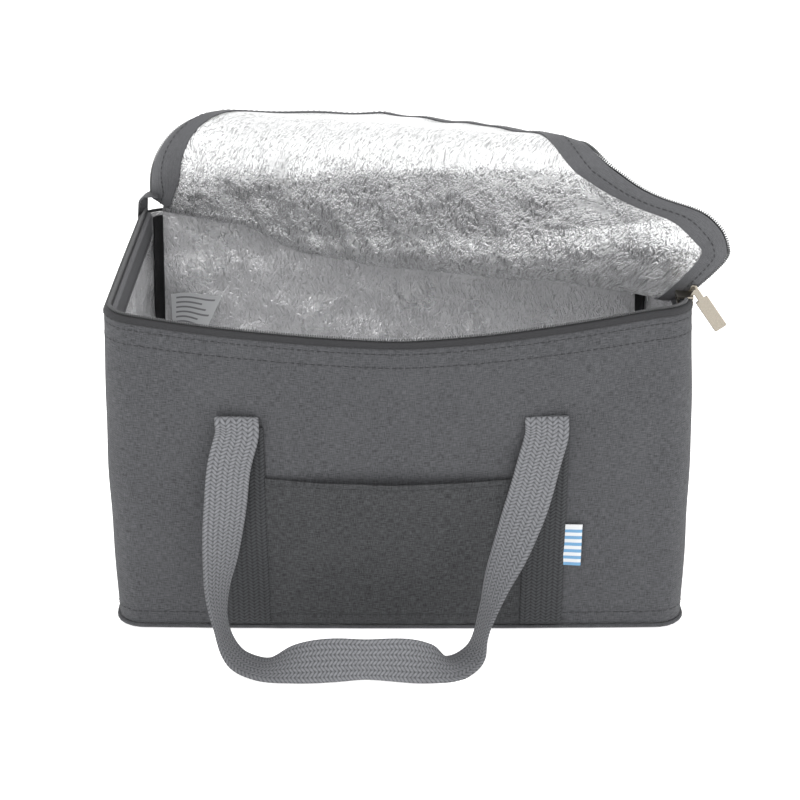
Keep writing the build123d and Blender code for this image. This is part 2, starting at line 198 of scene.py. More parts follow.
def ease(start, end, value):
    """0 before start, 1 after end, and smooth between them."""
    t = np.clip((np.asarray(value, float) - start) / (end - start), 0.0, 1.0)
    return t * t * (3.0 - 2.0 * t)


def hump(value, middle, spread):
    return np.exp(-(((np.asarray(value, float) - middle) / spread) ** 2))


def ripples(u, v, size, seed, count=14, stretch=1.0):
    """A smooth uneven field, mostly between -1 and 1. size is the usual distance between its humps."""
    draw = np.random.default_rng(seed)
    total = np.zeros(np.broadcast(u, v).shape)
    for _ in range(count):
        turn = draw.uniform(0, 2 * math.pi)
        wave = 2 * math.pi / size * draw.uniform(0.6, 1.5)
        phase = draw.uniform(0, 2 * math.pi)
        total += np.cos(wave * (u * math.cos(turn) + v * stretch * math.sin(turn)) + phase)
    return total / math.sqrt(2 * count)


class BagShape:
    """The walls' outline and the lid's folded surface, worked out from the few sizes."""

    def __init__(self, context):
        self.s = context.scene.bag_sizes
        self.l = context.scene.lid_sizes
        s = self.s
        self.half_w, self.half_d = s.width / 2, s.depth / 2
        r = s.corner
        quarter = math.pi * r / 2
        self.back_half = self.half_w - r
        self.left_start = self.back_half + quarter
        self.front_start = self.left_start + 2 * (self.half_d - r) + quarter
        self.right_start = self.front_start + 2 * (self.half_w - r) + quarter
        self.round = self.right_start + 2 * (self.half_d - r) + quarter + self.back_half
        self._trace_plan(r)
        self._trace_rim()
        self._trace_lid()

    def at_left(self, y):
        return self.left_start + self.half_d - self.s.corner - y

    def at_front(self, x):
        return self.front_start + x + self.half_w - self.s.corner

    def at_right(self, y):
        return self.right_start + y + self.half_d - self.s.corner

    def _trace_plan(self, r):
        """The plain outline, from the middle of the back by way of the left side."""
        runs = [(self.back_half, 0), (r, 90), (2 * (self.half_d - r), 0), (r, 90), (2 * (self.half_w - r), 0)]
        runs += [(r, 90), (2 * (self.half_d - r), 0), (r, 90), (self.back_half, 0)]
        place, heading, done = np.array([0.0, self.half_d]), math.pi, 0.0
        rows = []
        for size, turn in runs:
            if turn:
                along = np.linspace(0, math.pi * size / 2, 41)
                head = heading + along / size
                x = place[0] + size * (np.sin(head) - math.sin(heading))
                y = place[1] - size * (np.cos(head) - math.cos(heading))
            else:
                along = np.linspace(0, size, 3)
                head = np.full(3, heading)
                x = place[0] + along * math.cos(heading)
                y = place[1] + along * math.sin(heading)
            rows.append(np.stack([along + done, x, y, np.sin(head), -np.cos(head)], 1))
            place, heading, done = rows[-1][-1][1:3], head[-1], rows[-1][-1][0]
        self.plan = np.concatenate(rows)

    def _trace_rim(self):
        """How the open rim dips at the front and lifts at the slider."""
        marks = [
            (0.0, 0.0),
            (self.at_left(-0.02), 0.0),
            (self.at_front(-0.165), -0.001),
            (self.at_front(-0.12), -0.0035),
            (self.at_front(-0.05), -0.0065),
            (self.at_front(0.0), -0.0085),
            (self.at_front(0.05), -0.0055),
            (self.at_front(0.10), -0.001),
            (self.at_front(0.14), 0.0025),
            (self.at_right(-0.085), 0.0015),
            (self.at_right(-0.03), 0.0),
            (self.round, 0.0),
        ]
        steps = np.arange(0.0, self.round, 0.001)
        rise = np.interp(steps, *zip(*marks))
        kernel = np.hanning(45)
        spread = np.convolve(np.concatenate([rise[-40:], rise, rise[:40]]), kernel / kernel.sum(), "same")
        self.rim_steps, self.rim_rise = steps, spread[40:-40]
        self.rim_corner = (self.front_start + 2 * (self.half_w - self.s.corner) + self.right_start) / 2

    def outline(self, s, z, out=0.0):
        """Plain place on the walls: x, y and the outward direction, at distance s round them and height z."""
        s = np.asarray(s, float) % self.round
        x, y, nx, ny = (np.interp(s, self.plan[:, 0], self.plan[:, k]) for k in range(1, 5))
        bow = self.s.base_bow + (self.s.rim_bow - self.s.base_bow) * np.clip(z / self.s.height, 0, 1)
        front = y < 0
        across = np.clip(x / self.half_w, -1, 1)
        y = y - np.where(front, bow * (1 - across**2), 0.0)
        slope = np.where(front, 2 * bow * across / self.half_w, 0.0)
        dx, dy = -ny, nx - slope * ny
        size = np.hypot(dx, dy)
        ox, oy = dy / size, -dx / size
        return x + ox * out, y + oy * out, ox, oy

    def wall(self, s, z, out=0.0):
        """Place on the walls as they stand, with their swell and the slack of the open rim."""
        s, z = np.broadcast_arrays(np.asarray(s, float), np.asarray(z, float))
        up = np.clip(z / self.s.height, 0, 1)
        swell = self.s.wall_bulge * np.sin(math.pi * up) ** 0.8
        uneven = self.s.cloth_relief * ripples(s, z, 0.075, 5) * np.sin(math.pi * up)
        pull = 0.0030 * hump(s, self.rim_corner, 0.028) * up**2
        x, y, ox, oy = self.outline(s, z, 0.0)
        shift = swell + uneven - pull + out
        lift = np.interp(s % self.round, self.rim_steps, self.rim_rise) * up**2
        return np.stack([x + ox * shift, y + oy * shift, z + lift], -1)

    def _trace_lid(self):
        """The hinged corner of the lid, the line it folds up on and the ridge it falls back over."""
        l = self.l
        self.apex = np.array(FOLD["pos_m"], float)
        across = -np.array(FOLD["axis"], float)
        self.base = math.atan2(across[1], across[0])
        self.crease = np.array([math.cos(self.base), math.sin(self.base), 0.0])
        self.away = np.array([math.sin(self.base), -math.cos(self.base), 0.0])
        bow = self.s.rim_bow * (1 - (l.ridge_right / self.half_w) ** 2)
        self.ridge_start = np.array([-self.half_w + 0.0006, l.ridge_left])
        run = np.array([l.ridge_right, -self.half_d - bow + self.s.lid_inset]) - self.ridge_start
        self.ridge_long = float(np.hypot(*run))
        self.ridge = run / self.ridge_long
        self.lid_start = abs(self.base)
        corner_x, corner_y = self.lid_edge(self.at_left(-self.half_d + self.s.corner), LID_PANEL_INSET)
        self.lid_end = float(self.ray_of(corner_x, corner_y)) - math.radians(0.2)

    def ray_of(self, x, y):
        """Angle of a place on the flat lid from the line between the hinged corner and the slider."""
        turn = self.base - np.arctan2(y - self.apex[1], x - self.apex[0])
        return (turn + math.pi) % (2 * math.pi) - math.pi

    def front_gap(self, x, y):
        """Distance from the front edge of the flat lid, measured along y."""
        return y + self.half_d + self.s.rim_bow * (1 - np.clip(x / self.half_w, -1, 1) ** 2)

    def over_ridge(self, x, y):
        """How far the lid has turned over its ridge at a flat place, and where that takes the place."""
        l = self.l
        from_start = np.stack([x - self.ridge_start[0], y - self.ridge_start[1]], -1)
        beyond = np.array([self.ridge[1], -self.ridge[0]])
        a, q = from_start @ self.ridge, from_start @ beyond
        radius = l.radius_left + (l.radius_right - l.radius_left) * np.clip(a / self.ridge_long, -0.3, 1.3)
        begin = -radius * l.curl_fold / 2
        turn = np.clip((q - begin) / radius, 0, l.curl_fold)
        rest = np.clip(q - begin - radius * l.curl_fold, 0, None)
        past = q > begin
        reach = np.where(past, begin + radius * np.sin(turn) + rest * np.cos(turn), q)
        back = np.where(past, radius * (1 - np.cos(turn)) + rest * np.sin(turn), 0.0)
        flat = self.ridge_start + a[..., None] * self.ridge + reach[..., None] * beyond
        return turn, flat, back, beyond

    def standing(self, ray):
        """How far the lid stands up at a ray from its hinged corner."""
        return self.l.side_fold * ease(-self.l.side_spread, self.l.side_spread, np.degrees(ray))

    def lid_normal(self, x, y):
        """The direction of the lid's fabric side at a flat place."""
        x, y = np.broadcast_arrays(np.asarray(x, float), np.asarray(y, float))
        turn, _, _, beyond = self.over_ridge(x, y)
        along, side = beyond @ self.crease[:2], beyond @ self.away[:2]
        up, tilt = np.cos(turn), self.standing(self.ray_of(x, y))
        level = -np.sin(turn) * side
        turned = -np.sin(turn)[..., None] * along * self.crease
        turned = turned + (level * np.cos(tilt) - up * np.sin(tilt))[..., None] * self.away
        turned[..., 2] += level * np.sin(tilt) + up * np.cos(tilt)
        return turned

    def lid(self, x, y, out=0.0):
        """A place on the part-open lid, for a place on the flat one. out is towards its fabric side."""
        x, y = np.broadcast_arrays(np.asarray(x, float), np.asarray(y, float))
        l = self.l
        far = np.hypot(x - self.apex[0], y - self.apex[1])
        ray = self.ray_of(x, y)
        deg, tilt = np.degrees(ray), self.standing(ray)
        turn, flat, back, _ = self.over_ridge(x, y)
        from_apex = flat - self.apex[:2]
        along, side = from_apex @ self.crease[:2], from_apex @ self.away[:2]
        p = self.apex + along[..., None] * self.crease
        p = p + (side * np.cos(tilt) - back * np.sin(tilt))[..., None] * self.away
        p[..., 2] += side * np.sin(tilt) + back * np.cos(tilt)
        hang = ease(0.065, 0.125, far) * (1 - ease(0.13, 0.34, far))
        beside = np.exp(-((side / np.where(side > 0, 0.038, 0.05)) ** 2))
        p[..., 2] -= l.sag * hang * beside * np.cos(turn).clip(0)
        corner = ease(0.26, 0.39, far) * (1 - ease(13, 34, deg)) * ease(-2, 2, deg)
        p[..., 0] += l.corner_out * corner
        p[..., 2] += l.corner_up * corner * (1 - ease(4, 12, deg))
        p[..., 0] -= l.left_out * ease(40, 58, deg) * np.sin(math.pi * np.clip(far / 0.16, 0, 1))
        uneven = l.relief * ripples(x, y, 0.06, 9) * ease(0.02, 0.08, far) * ease(0, 0.02, self.edge_gap(x, y))
        return p + (out + uneven)[..., None] * self.lid_normal(x, y)

    def edge_gap(self, x, y):
        """Rough distance of a place on the flat lid from the nearest outside wall."""
        sides = np.minimum(self.half_w - np.abs(x), self.half_d - y)
        return np.minimum(sides, self.front_gap(x, y))

    def lid_edge(self, s, inset):
        """Place on the flat lid at distance s round the outline and inset from the outside of the walls."""
        x, y, _, _ = self.outline(s, self.s.height, -inset)
        return x, y

    def lid_reach(self, rays, inset):
        """Where each ray enters and leaves the flat lid that is cut off at that inset."""
        s = np.linspace(self.at_left(-self.half_d + self.s.corner), self.at_right(0.0), 900)
        x, y = self.lid_edge(s, inset)
        x = np.append(x, self.half_w - inset)
        y = np.append(y, self.apex[1])
        turn = self.ray_of(x, y)
        order = np.argsort(turn)
        far = np.interp(rays, turn[order], np.hypot(x - self.apex[0], y - self.apex[1])[order])
        gap = inset - self.half_w - self.apex[0]
        near = np.maximum(0.003, gap / np.maximum(np.cos(self.base - rays), 0.02))
        return np.minimum(near, far), far

    def seam_place(self, ray):
        """Where along the outline the lid's edge meets a ray."""
        s = np.linspace(self.at_left(0.080), self.at_right(0.080), 900)
        turn = self.ray_of(*self.lid_edge(s, self.s.lid_inset))
        order = np.argsort(turn)
        return float(np.interp(ray, turn[order], s[order]))


# ---------------------------------------------------------------- meshes


def new_piece(name, points, faces, material, places=None, smooth=True):
    """A mesh object at the origin. places gives each point's pattern coordinates, in metres."""
    mesh = bpy.data.meshes.new(name)
    mesh.from_pydata(np.asarray(points, float).reshape(-1, 3).tolist(), [], [list(map(int, f)) for f in faces])
    if places is not None:
        layer = mesh.uv_layers.new(name="cloth")
        corners = np.zeros(len(mesh.loops), np.int32)
        mesh.loops.foreach_get("vertex_index", corners)
        uv = np.asarray(places, float).reshape(-1, 2)[corners]
        layer.data.foreach_set("uv", uv.astype(np.float32).ravel())
    mesh.materials.append(material)
    if smooth:
        mesh.shade_smooth()
        mesh.set_sharp_from_angle(angle=math.radians(48))
    mesh.validate()
    piece = bpy.data.objects.new(name, mesh)
    bpy.context.scene.collection.objects.link(piece)
    return piece


def strip_faces(a, b):
    """Faces between two rows of point numbers of the same length."""
    return np.stack([a[:-1], a[1:], b[1:], b[:-1]], 1)


def sheet_faces(rows, columns, wrap=False):
    """Faces of a closed thin sheet: an outer grid of points followed by an inner one of the same size."""
    grid = np.arange(rows * columns).reshape(rows, columns)
    if wrap:
        grid = np.concatenate([grid, grid[:1]])
    inner = grid + rows * columns
    cells = [grid[:-1, :-1], grid[1:, :-1], grid[1:, 1:], grid[:-1, 1:]]
    outside = np.stack(cells, -1).reshape(-1, 4)
    inside = np.stack([c + rows * columns for c in cells], -1).reshape(-1, 4)[:, ::-1]
    faces = [outside, inside, strip_faces(inner[:, 0], grid[:, 0]), strip_faces(grid[:, -1], inner[:, -1])]
    if not wrap:
        faces += [strip_faces(grid[0], inner[0]), strip_faces(inner[-1], grid[-1])]
    return np.concatenate(faces)


def thin_sheet(name, outer, inner, places, material, wrap=False):
    """A closed thin sheet between two grids of points, with its faces outwards."""
    rows, columns = outer.shape[:2]
    faces = sheet_faces(rows, columns, wrap)
    i, j = rows // 2, columns // 2
    way = np.cross(outer[i, j] - outer[i - 1, j], outer[i, j] - outer[i, j - 1])
    if way @ (outer[i, j] - inner[i, j]) < 0:
        faces = faces[:, ::-1]
    points = np.concatenate([outer.reshape(-1, 3), inner.reshape(-1, 3)])
    uv = np.concatenate([places.reshape(-1, 2)] * 2)
    return new_piece(name, points, faces, material, uv)


def grid_of(first, second):
    return np.meshgrid(first, second, indexing="ij")


def plate(name, bag, top, bottom, out, material, relief=0.0, rings=16):
    """A closed flat plate filling the outline, such as the base."""
    s = np.linspace(0, bag.round, 200, endpoint=False)
    x, y, _, _ = bag.outline(s, max(bottom, 0.0), out)
    share = np.linspace(1, 0, rings + 1)[:-1] ** 0.8
    ring_x, ring_y = share[:, None] * x, share[:, None] * (y + 0.005) - 0.005
    ring_x, ring_y = np.append(ring_x.ravel(), 0.0), np.append(ring_y.ravel(), -0.005)
    bumps = relief * ripples(ring_x, ring_y, 0.05, 21)
    points = np.concatenate(
        [np.stack([ring_x, ring_y, top + bumps], 1), np.stack([ring_x, ring_y, bottom + bumps * 0], 1)]
    )
    count, ring = len(ring_x), len(s)
    grid = np.arange(rings * ring).reshape(rings, ring)
    grid = np.concatenate([grid, grid[:, :1]], 1)
    faces = [list(f) for k in range(rings - 1) for f in strip_faces(grid[k], grid[k + 1])]
    faces += [[grid[-1, k], grid[-1, k + 1], count - 1] for k in range(ring)]
    faces += [[i + count for i in f][::-1] for f in faces]
    faces += [list(f) for f in strip_faces(grid[0] + count, grid[0])]
    uv = np.concatenate([np.stack([ring_x, ring_y], 1)] * 2)
    return new_piece(name, points, faces, material, uv)


def flow(points, count):
    """A smooth line through a few points, with count points evenly along it."""
    points = np.asarray(points, float)
    ends = np.concatenate([[2 * points[0] - points[1]], points, [2 * points[-1] - points[-2]]])
    rows = []
    for k in range(len(points) - 1):
        a, b, c, d = ends[k : k + 4]
        t = np.linspace(0, 1, 24, endpoint=False)[:, None]
        square, cube = 2 * a - 5 * b + 4 * c - d, 3 * b - a - 3 * c + d
        rows.append(0.5 * (2 * b + (c - a) * t + square * t**2 + cube * t**3))
    line = np.concatenate([*rows, points[-1:]])
    run = np.concatenate([[0], np.cumsum(np.linalg.norm(np.diff(line[:, :3], axis=0), axis=1))])
    even = np.linspace(0, run[-1], count)
    return np.stack([np.interp(even, run, line[:, k]) for k in range(line.shape[1])], 1), even


def unit(v):
    return v / np.maximum(np.linalg.norm(v, axis=-1, keepdims=True), 1e-12)


def webbing_band(name, route, across, width, thick, material, count=200, wave=0.0):
    """A flat woven band along a route. across gives the direction over its width at each route point."""
    line, run = flow(np.concatenate([route, across], 1), count)
    middle = line[:, :3]
    along = unit(np.gradient(middle, axis=0))
    side = unit(line[:, 3:] - (line[:, 3:] * along).sum(1, keepdims=True) * along)
    face = np.cross(side, along)
    share = np.array([-1, -0.985, -0.93, -0.8, -0.5, -0.2, 0.2, 0.5, 0.8, 0.93, 0.985, 1])
    full = np.array([0.25, 0.62, 0.88, 1, 1, 1, 1, 1, 1, 0.88, 0.62, 0.25])
    offset = share * width / 2
    ruffle = wave * ripples(run[:, None], offset[None, :], 0.05, 31)
    centre = middle[:, None] + offset[None, :, None] * side[:, None] + ruffle[..., None] * face[:, None]
    half = (full * thick / 2)[None, :, None] * face[:, None]
    places = np.stack(np.broadcast_arrays(offset[None, :], run[:, None]), -1)
    return thin_sheet(name, centre + half, centre - half, places, material)


# ---------------------------------------------------------------- rows of stitches and zip teeth


def socket(tree, name, kind, way="INPUT", default=None):
    item = tree.interface.new_socket(name=name, in_out=way, socket_type=kind)
    if default is not None:
        item.default_value = default
    return item


class Graph:
    """Adds nodes to a tree, each with its inputs given by name or number."""

    def __init__(self, tree):
        self.tree = tree

    def add(self, kind, inputs=None, **settings):
        node = self.tree.nodes.new(kind)
        for name, value in settings.items():
            setattr(node, name, value)
        for name, value in (inputs or {}).items():
            if isinstance(value, bpy.types.NodeSocket):
                self.tree.links.new(value, node.inputs[name])
            else:
                node.inputs[name].default_value = value
        return node

    def maths(self, operation, a, b=None, c=None):
        inputs = {k: v for k, v in enumerate((a, b, c)) if v is not None}
        return self.add("ShaderNodeMath", inputs, operation=operation).outputs[0]


def row_tree():
    """Geometry nodes that set small rounded beads along a line, such as stitches or the turns of a coil."""
    tree = bpy.data.node_groups.new("Beads along a seam", "GeometryNodeTree")
    tree.is_modifier = True
    socket(tree, "Geometry", "NodeSocketGeometry")
    socket(tree, "Pitch", "NodeSocketFloat", default=0.004)
    socket(tree, "Bead", "NodeSocketVector", default=(0.0005, 0.0005, 0.003))
    socket(tree, "Unevenness", "NodeSocketFloat", default=0.08)
    socket(tree, "Slant", "NodeSocketFloat", default=0.0)
    socket(tree, "Seed", "NodeSocketInt", default=1)
    socket(tree, "Material", "NodeSocketMaterial")
    socket(tree, "Geometry", "NodeSocketGeometry", "OUTPUT")
    g = Graph(tree)
    given = g.add("NodeGroupInput").outputs
    facing = g.add("GeometryNodeInputNamedAttribute", {"Name": "facing"}, data_type="FLOAT_VECTOR").outputs[0]
    line = g.add("GeometryNodeMeshToCurve", {"Mesh": given["Geometry"]}).outputs[0]
    spacing = {"Curve": line, "Length": given["Pitch"]}
    evened = g.add("GeometryNodeResampleCurve", spacing, mode="LENGTH").outputs[0]
    tangent = g.add("GeometryNodeInputTangent").outputs[0]
    along = g.add("FunctionNodeAlignRotationToVector", {"Vector": tangent}, axis="Z").outputs[0]
    turned = g.add(
        "FunctionNodeAlignRotationToVector", {"Rotation": along, "Vector": facing}, axis="X", pivot_axis="Z"
    ).outputs[0]
    lean = g.add("ShaderNodeCombineXYZ", {"X": given["Slant"]}).outputs[0]
    slanting = {"Rotation": turned, "Rotate By": lean}
    slanted = g.add("FunctionNodeRotateRotation", slanting, rotation_space="LOCAL")
    ball = g.add("GeometryNodeMeshUVSphere", {"Segments": 6, "Rings": 4, "Radius": 0.5})
    even = g.maths("SUBTRACT", 1.0, given["Unevenness"])
    more = g.maths("ADD", 1.0, given["Unevenness"])
    vary = g.add("FunctionNodeRandomValue", {"Seed": given["Seed"]}, data_type="FLOAT")
    g.tree.links.new(even, vary.inputs[2])
    g.tree.links.new(more, vary.inputs[3])
    size = g.add("ShaderNodeVectorMath", {0: given["Bead"]}, operation="SCALE")
    g.tree.links.new(vary.outputs[1], size.inputs["Scale"])
    beads = g.add(
        "GeometryNodeInstanceOnPoints",
        {
            "Points": evened,
            "Instance": ball.outputs[0],
            "Rotation": slanted.outputs[0],
            "Scale": size.outputs[0],
        },
    )
    real = g.add("GeometryNodeRealizeInstances", {"Geometry": beads.outputs[0]})
    smooth = g.add("GeometryNodeSetShadeSmooth", {"Geometry": real.outputs[0]})
    done = g.add("GeometryNodeSetMaterial", {"Geometry": smooth.outputs[0], "Material": given["Material"]})
    g.add("NodeGroupOutput", {"Geometry": done.outputs[0]})
    return tree


def bead_rows(name, lines, pitch, bead, material, uneven=0.08, slant=0.0, seed=1):
    """Sets beads along each line and makes them one plain mesh. A line is its points and their facing."""
    tree = bpy.data.node_groups.get("Beads along a seam") or row_tree()
    points, edges, facings = [], [], []
    for path, facing in lines:
        first = len(points)
        points += np.asarray(path).tolist()
        facings += unit(np.asarray(facing)).tolist()
        edges += [(first + k, first + k + 1) for k in range(len(path) - 1)]
    mesh = bpy.data.meshes.new(name)
    mesh.from_pydata(points, edges, [])
    mesh.attributes.new("facing", "FLOAT_VECTOR", "POINT").data.foreach_set("vector", np.ravel(facings))
    piece = bpy.data.objects.new(name, mesh)
    bpy.context.scene.collection.objects.link(piece)
    modifier = piece.modifiers.new("Beads", "NODES")
    modifier.node_group = tree
    values = {
        "Pitch": pitch,
        "Bead": bead,
        "Unevenness": uneven,
        "Slant": slant,
        "Seed": seed,
        "Material": material,
    }
    for item in tree.interface.items_tree:
        if item.in_out == "INPUT" and item.name in values:
            modifier[item.identifier] = values[item.name]
    evaluated = piece.evaluated_get(bpy.context.evaluated_depsgraph_get())
    made = bpy.data.meshes.new_from_object(evaluated)
    piece.modifiers.remove(modifier)
    made.name = name
    piece.data = made
    if not made.polygons:
        raise RuntimeError(f"{name} came out empty")
    return piece


def stitches(context, name, lines, material, seed=1):
    s = context.scene.bag_sizes
    bead = (s.thread * 0.75, s.thread * 1.3, s.stitch * 1.05)
    return bead_rows(name, lines, s.stitch + s.stitch_gap, bead, material, seed=seed)


# ---------------------------------------------------------------- shared patterns for the materials


def pattern(name, inputs, outputs):
    """A shader group with named inputs and outputs. Returns the tree, its graph and its inputs."""
    tree = bpy.data.node_groups.new(name, "ShaderNodeTree")
    for label, kind, value in inputs:
        socket(tree, label, kind, default=value)
    for label, kind in outputs:
        socket(tree, label, kind, "OUTPUT")
    g = Graph(tree)
    return tree, g, g.add("NodeGroupInput").outputs


def stretched(g, place, across, along):
    """The pattern place scaled by threads per metre each way."""
    return g.add("ShaderNodeVectorMath", {0: place, 1: (across, along, 1.0)}, operation="MULTIPLY").outputs[0]


def noise(g, place, scale, detail=2.0, rough=0.5, twist=0.0, kind="FBM"):
    inputs = {"Vector": place, "Scale": scale, "Detail": detail, "Roughness": rough, "Distortion": twist}
    return g.add("ShaderNodeTexNoise", inputs, noise_type=kind).outputs[0]


def weave_pattern():
    """Plain weave: warp and weft threads that pass over each other."""
    inputs = [("Place", "NodeSocketVector", None)]
    inputs += [(label, "NodeSocketFloat", 900.0) for label in ("Warp", "Weft")]
    tree, g, given = pattern("Woven threads", inputs, [("Height", "NodeSocketFloat")])
    parts = g.add("ShaderNodeSeparateXYZ", {0: given["Place"]}).outputs
    ridges, steps = [], []
    for part, count in ((parts[0], given["Warp"]), (parts[1], given["Weft"])):
        run = g.maths("MULTIPLY", part, count)
        ridges.append(g.maths("ABSOLUTE", g.maths("SINE", g.maths("MULTIPLY", run, math.pi))))
        steps.append(g.maths("FLOOR", run))
    check = g.maths("FLOORED_MODULO", g.maths("ADD", *steps), 2.0)
    over = g.maths("MULTIPLY", ridges[0], check)
    under = g.maths("MULTIPLY", ridges[1], g.maths("SUBTRACT", 1.0, check))
    g.add("NodeGroupOutput", {"Height": g.maths("ADD", over, under)})
    return tree


def melange_pattern():
    """Light and dark fibres spun together, as streaks along both sets of threads."""
    tree, g, given = pattern(
        "Melange yarn",
        [("Place", "NodeSocketVector", None), ("Fineness", "NodeSocketFloat", 1.0)],
        [("Shade", "NodeSocketFloat"), ("Mottle", "NodeSocketFloat")],
    )
    fine = given["Fineness"]
    warp = noise(g, stretched(g, given["Place"], 2300.0, 240.0), fine, 1.0)
    weft = noise(g, stretched(g, given["Place"], 240.0, 2300.0), fine, 1.0)
    slow = noise(g, given["Place"], 60.0, 3.0)
    shade = g.maths("ADD", g.maths("MULTIPLY", warp, 0.42), g.maths("MULTIPLY", weft, 0.58))
    g.add("NodeGroupOutput", {"Shade": shade, "Mottle": slow})
    return tree


def ribs_pattern():
    """Webbing: ribs of heavy yarn that slant left and right by turns."""
    inputs = [("Place", "NodeSocketVector", None), ("Ribs", "NodeSocketFloat", 640.0)]
    outputs = [("Height", "NodeSocketFloat"), ("Yarn", "NodeSocketFloat")]
    tree, g, given = pattern("Webbing ribs", inputs, outputs)
    parts = g.add("ShaderNodeSeparateXYZ", {0: given["Place"]}).outputs
    across = g.maths("MULTIPLY", parts[0], given["Ribs"])
    along = g.maths("MULTIPLY", parts[1], g.maths("MULTIPLY", given["Ribs"], 1.35))
    zigzag = g.maths("PINGPONG", across, 2.0)
    slanting = g.maths("MULTIPLY", g.maths("ADD", along, zigzag), math.pi / 2)
    slant = g.maths("ABSOLUTE", g.maths("SINE", slanting))
    column = g.maths("ABSOLUTE", g.maths("SINE", g.maths("MULTIPLY", across, math.pi / 2)))
    yarn = noise(g, stretched(g, given["Place"], 700.0, 700.0), 1.0, 2.0)
    height = g.maths("ADD", g.maths("MULTIPLY", slant, 0.65), g.maths("MULTIPLY", column, 0.35))
    g.add("NodeGroupOutput", {"Height": height, "Yarn": yarn})
    return tree


def crinkle_pattern():
    """Foil film: short sharp ridges over softer creases."""
    tree, g, given = pattern(
        "Foil crinkle",
        [("Place", "NodeSocketVector", None), ("Across", "NodeSocketFloat", 1.0)],
        [("Ridges", "NodeSocketFloat"), ("Creases", "NodeSocketFloat")],
    )
    place = given["Place"]
    sway = noise(g, place, 45.0, 2.0)
    swaying = {0: place, 1: (0.012, 0.012, 0.0), 2: place}
    swayed = g.add("ShaderNodeVectorMath", swaying, operation="MULTIPLY_ADD")
    g.tree.links.new(sway, swayed.inputs[0])
    fine = noise(g, stretched(g, swayed.outputs[0], 640.0, 240.0), 1.0, 3.0, 0.55, 0.6)
    broad = noise(g, stretched(g, swayed.outputs[0], 60.0, 38.0), 1.0, 2.0, 0.5, 0.4)
    ridge = g.maths("SUBTRACT", 1.0, g.maths("ABSOLUTE", g.maths("MULTIPLY_ADD", fine, 4.0, -2.0)))
    g.add("NodeGroupOutput", {"Ridges": ridge, "Creases": broad})
    return tree


def wear_pattern():
    """Rubbed and dusty patches that come and go over the surface."""
    tree, g, given = pattern("Wear", [("Place", "NodeSocketVector", None)], [("Rubbed", "NodeSocketFloat")])
    patches = noise(g, given["Place"], 26.0, 4.0, 0.6)
    rubbed = g.add("ShaderNodeMapRange", {0: patches, 1: 0.45, 2: 0.75, 3: 0.0, 4: 1.0}).outputs[0]
    g.add("NodeGroupOutput", {"Rubbed": rubbed})
    return tree


PATTERNS = {
    "Woven threads": weave_pattern,
    "Melange yarn": melange_pattern,
    "Webbing ribs": ribs_pattern,
    "Foil crinkle": crinkle_pattern,
    "Wear": wear_pattern,
}


class Finish:
    """One material being made: its graph, its shader and its pattern coordinates."""

    def __init__(self, name, roughness, metallic=0.0, sheen=0.0, coat=0.0, specular=0.5, on_cloth=True):
        self.material = bpy.data.materials.new(name)
        self.material.use_nodes = True
        self.graph = Graph(self.material.node_tree)
        self.shader = self.material.node_tree.nodes["Principled BSDF"]
        self.shader.inputs["Roughness"].default_value = roughness
        self.shader.inputs["Metallic"].default_value = metallic
        self.shader.inputs["Specular IOR Level"].default_value = specular
        self.shader.inputs["Sheen Weight"].default_value = sheen
        self.shader.inputs["Sheen Roughness"].default_value = 0.5
        self.shader.inputs["Coat Weight"].default_value = coat
        if on_cloth:
            self.place = self.graph.add("ShaderNodeUVMap", uv_map="cloth").outputs[0]
        else:
            self.place = self.graph.add("ShaderNodeTexCoord").outputs["Object"]

    def use(self, name, inputs=None):
        tree = bpy.data.node_groups.get(name) or PATTERNS[name]()
        node = self.graph.add("ShaderNodeGroup", node_tree=tree)
        self.graph.tree.links.new(self.place, node.inputs["Place"])
        for label, value in (inputs or {}).items():
            node.inputs[label].default_value = value
        return node.outputs

    def mix(self, share, first, second):
        node = self.graph.add("ShaderNodeMix", data_type="RGBA")
        for value, slot in ((share, 0), (first, 6), (second, 7)):
            if isinstance(value, bpy.types.NodeSocket):
                self.graph.tree.links.new(value, node.inputs[slot])
            else:
                node.inputs[slot].default_value = value
        return node.outputs[2]

    def between(self, value, start, end, low_value=0.0, high_value=1.0):
        inputs = {0: value, 1: start, 2: end, 3: low_value, 4: high_value}
        return self.graph.add("ShaderNodeMapRange", inputs).outputs[0]

    def set(self, name, value):
        self.graph.tree.links.new(value, self.shader.inputs[name])

    def bump(self, height, depth, strength=1.0, onto=None):
        inputs = {"Height": height, "Distance": depth, "Strength": strength}
        if onto is not None:
            inputs["Normal"] = onto
        made = self.graph.add("ShaderNodeBump", inputs).outputs[0]
        self.set("Normal", made)
        return made


def shade(rgb, factor):
    return (*[min(1.0, c * factor) for c in rgb[:3]], 1.0)


def spun_cloth(name, rgb, threads=1500.0, contrast=0.46, relief=0.00016, rough=0.9):
    """Woven melange cloth with rubbed patches."""
    f = Finish(name, rough, sheen=0.05, specular=0.2)
    yarn = f.use("Melange yarn")
    weave = f.use("Woven threads", {"Warp": threads, "Weft": threads})
    worn = f.use("Wear")
    streak = f.between(yarn["Shade"], 0.36, 0.64)
    base = f.mix(streak, shade(rgb, 1 - contrast), shade(rgb, 1 + contrast))
    patchy = f.mix(f.between(yarn["Mottle"], 0.3, 0.7, 0.0, 0.14), base, shade(rgb, 1.35))
    f.set("Base Color", f.mix(f.between(worn["Rubbed"], 0.0, 1.0, 0.0, 0.10), patchy, shade(rgb, 1.6)))
    f.set("Roughness", f.between(worn["Rubbed"], 0.0, 1.0, rough, rough - 0.12))
    coarse = f.bump(yarn["Shade"], relief * 1.4, 0.6)
    f.bump(weave["Height"], relief, 0.7, coarse)
    return f.material


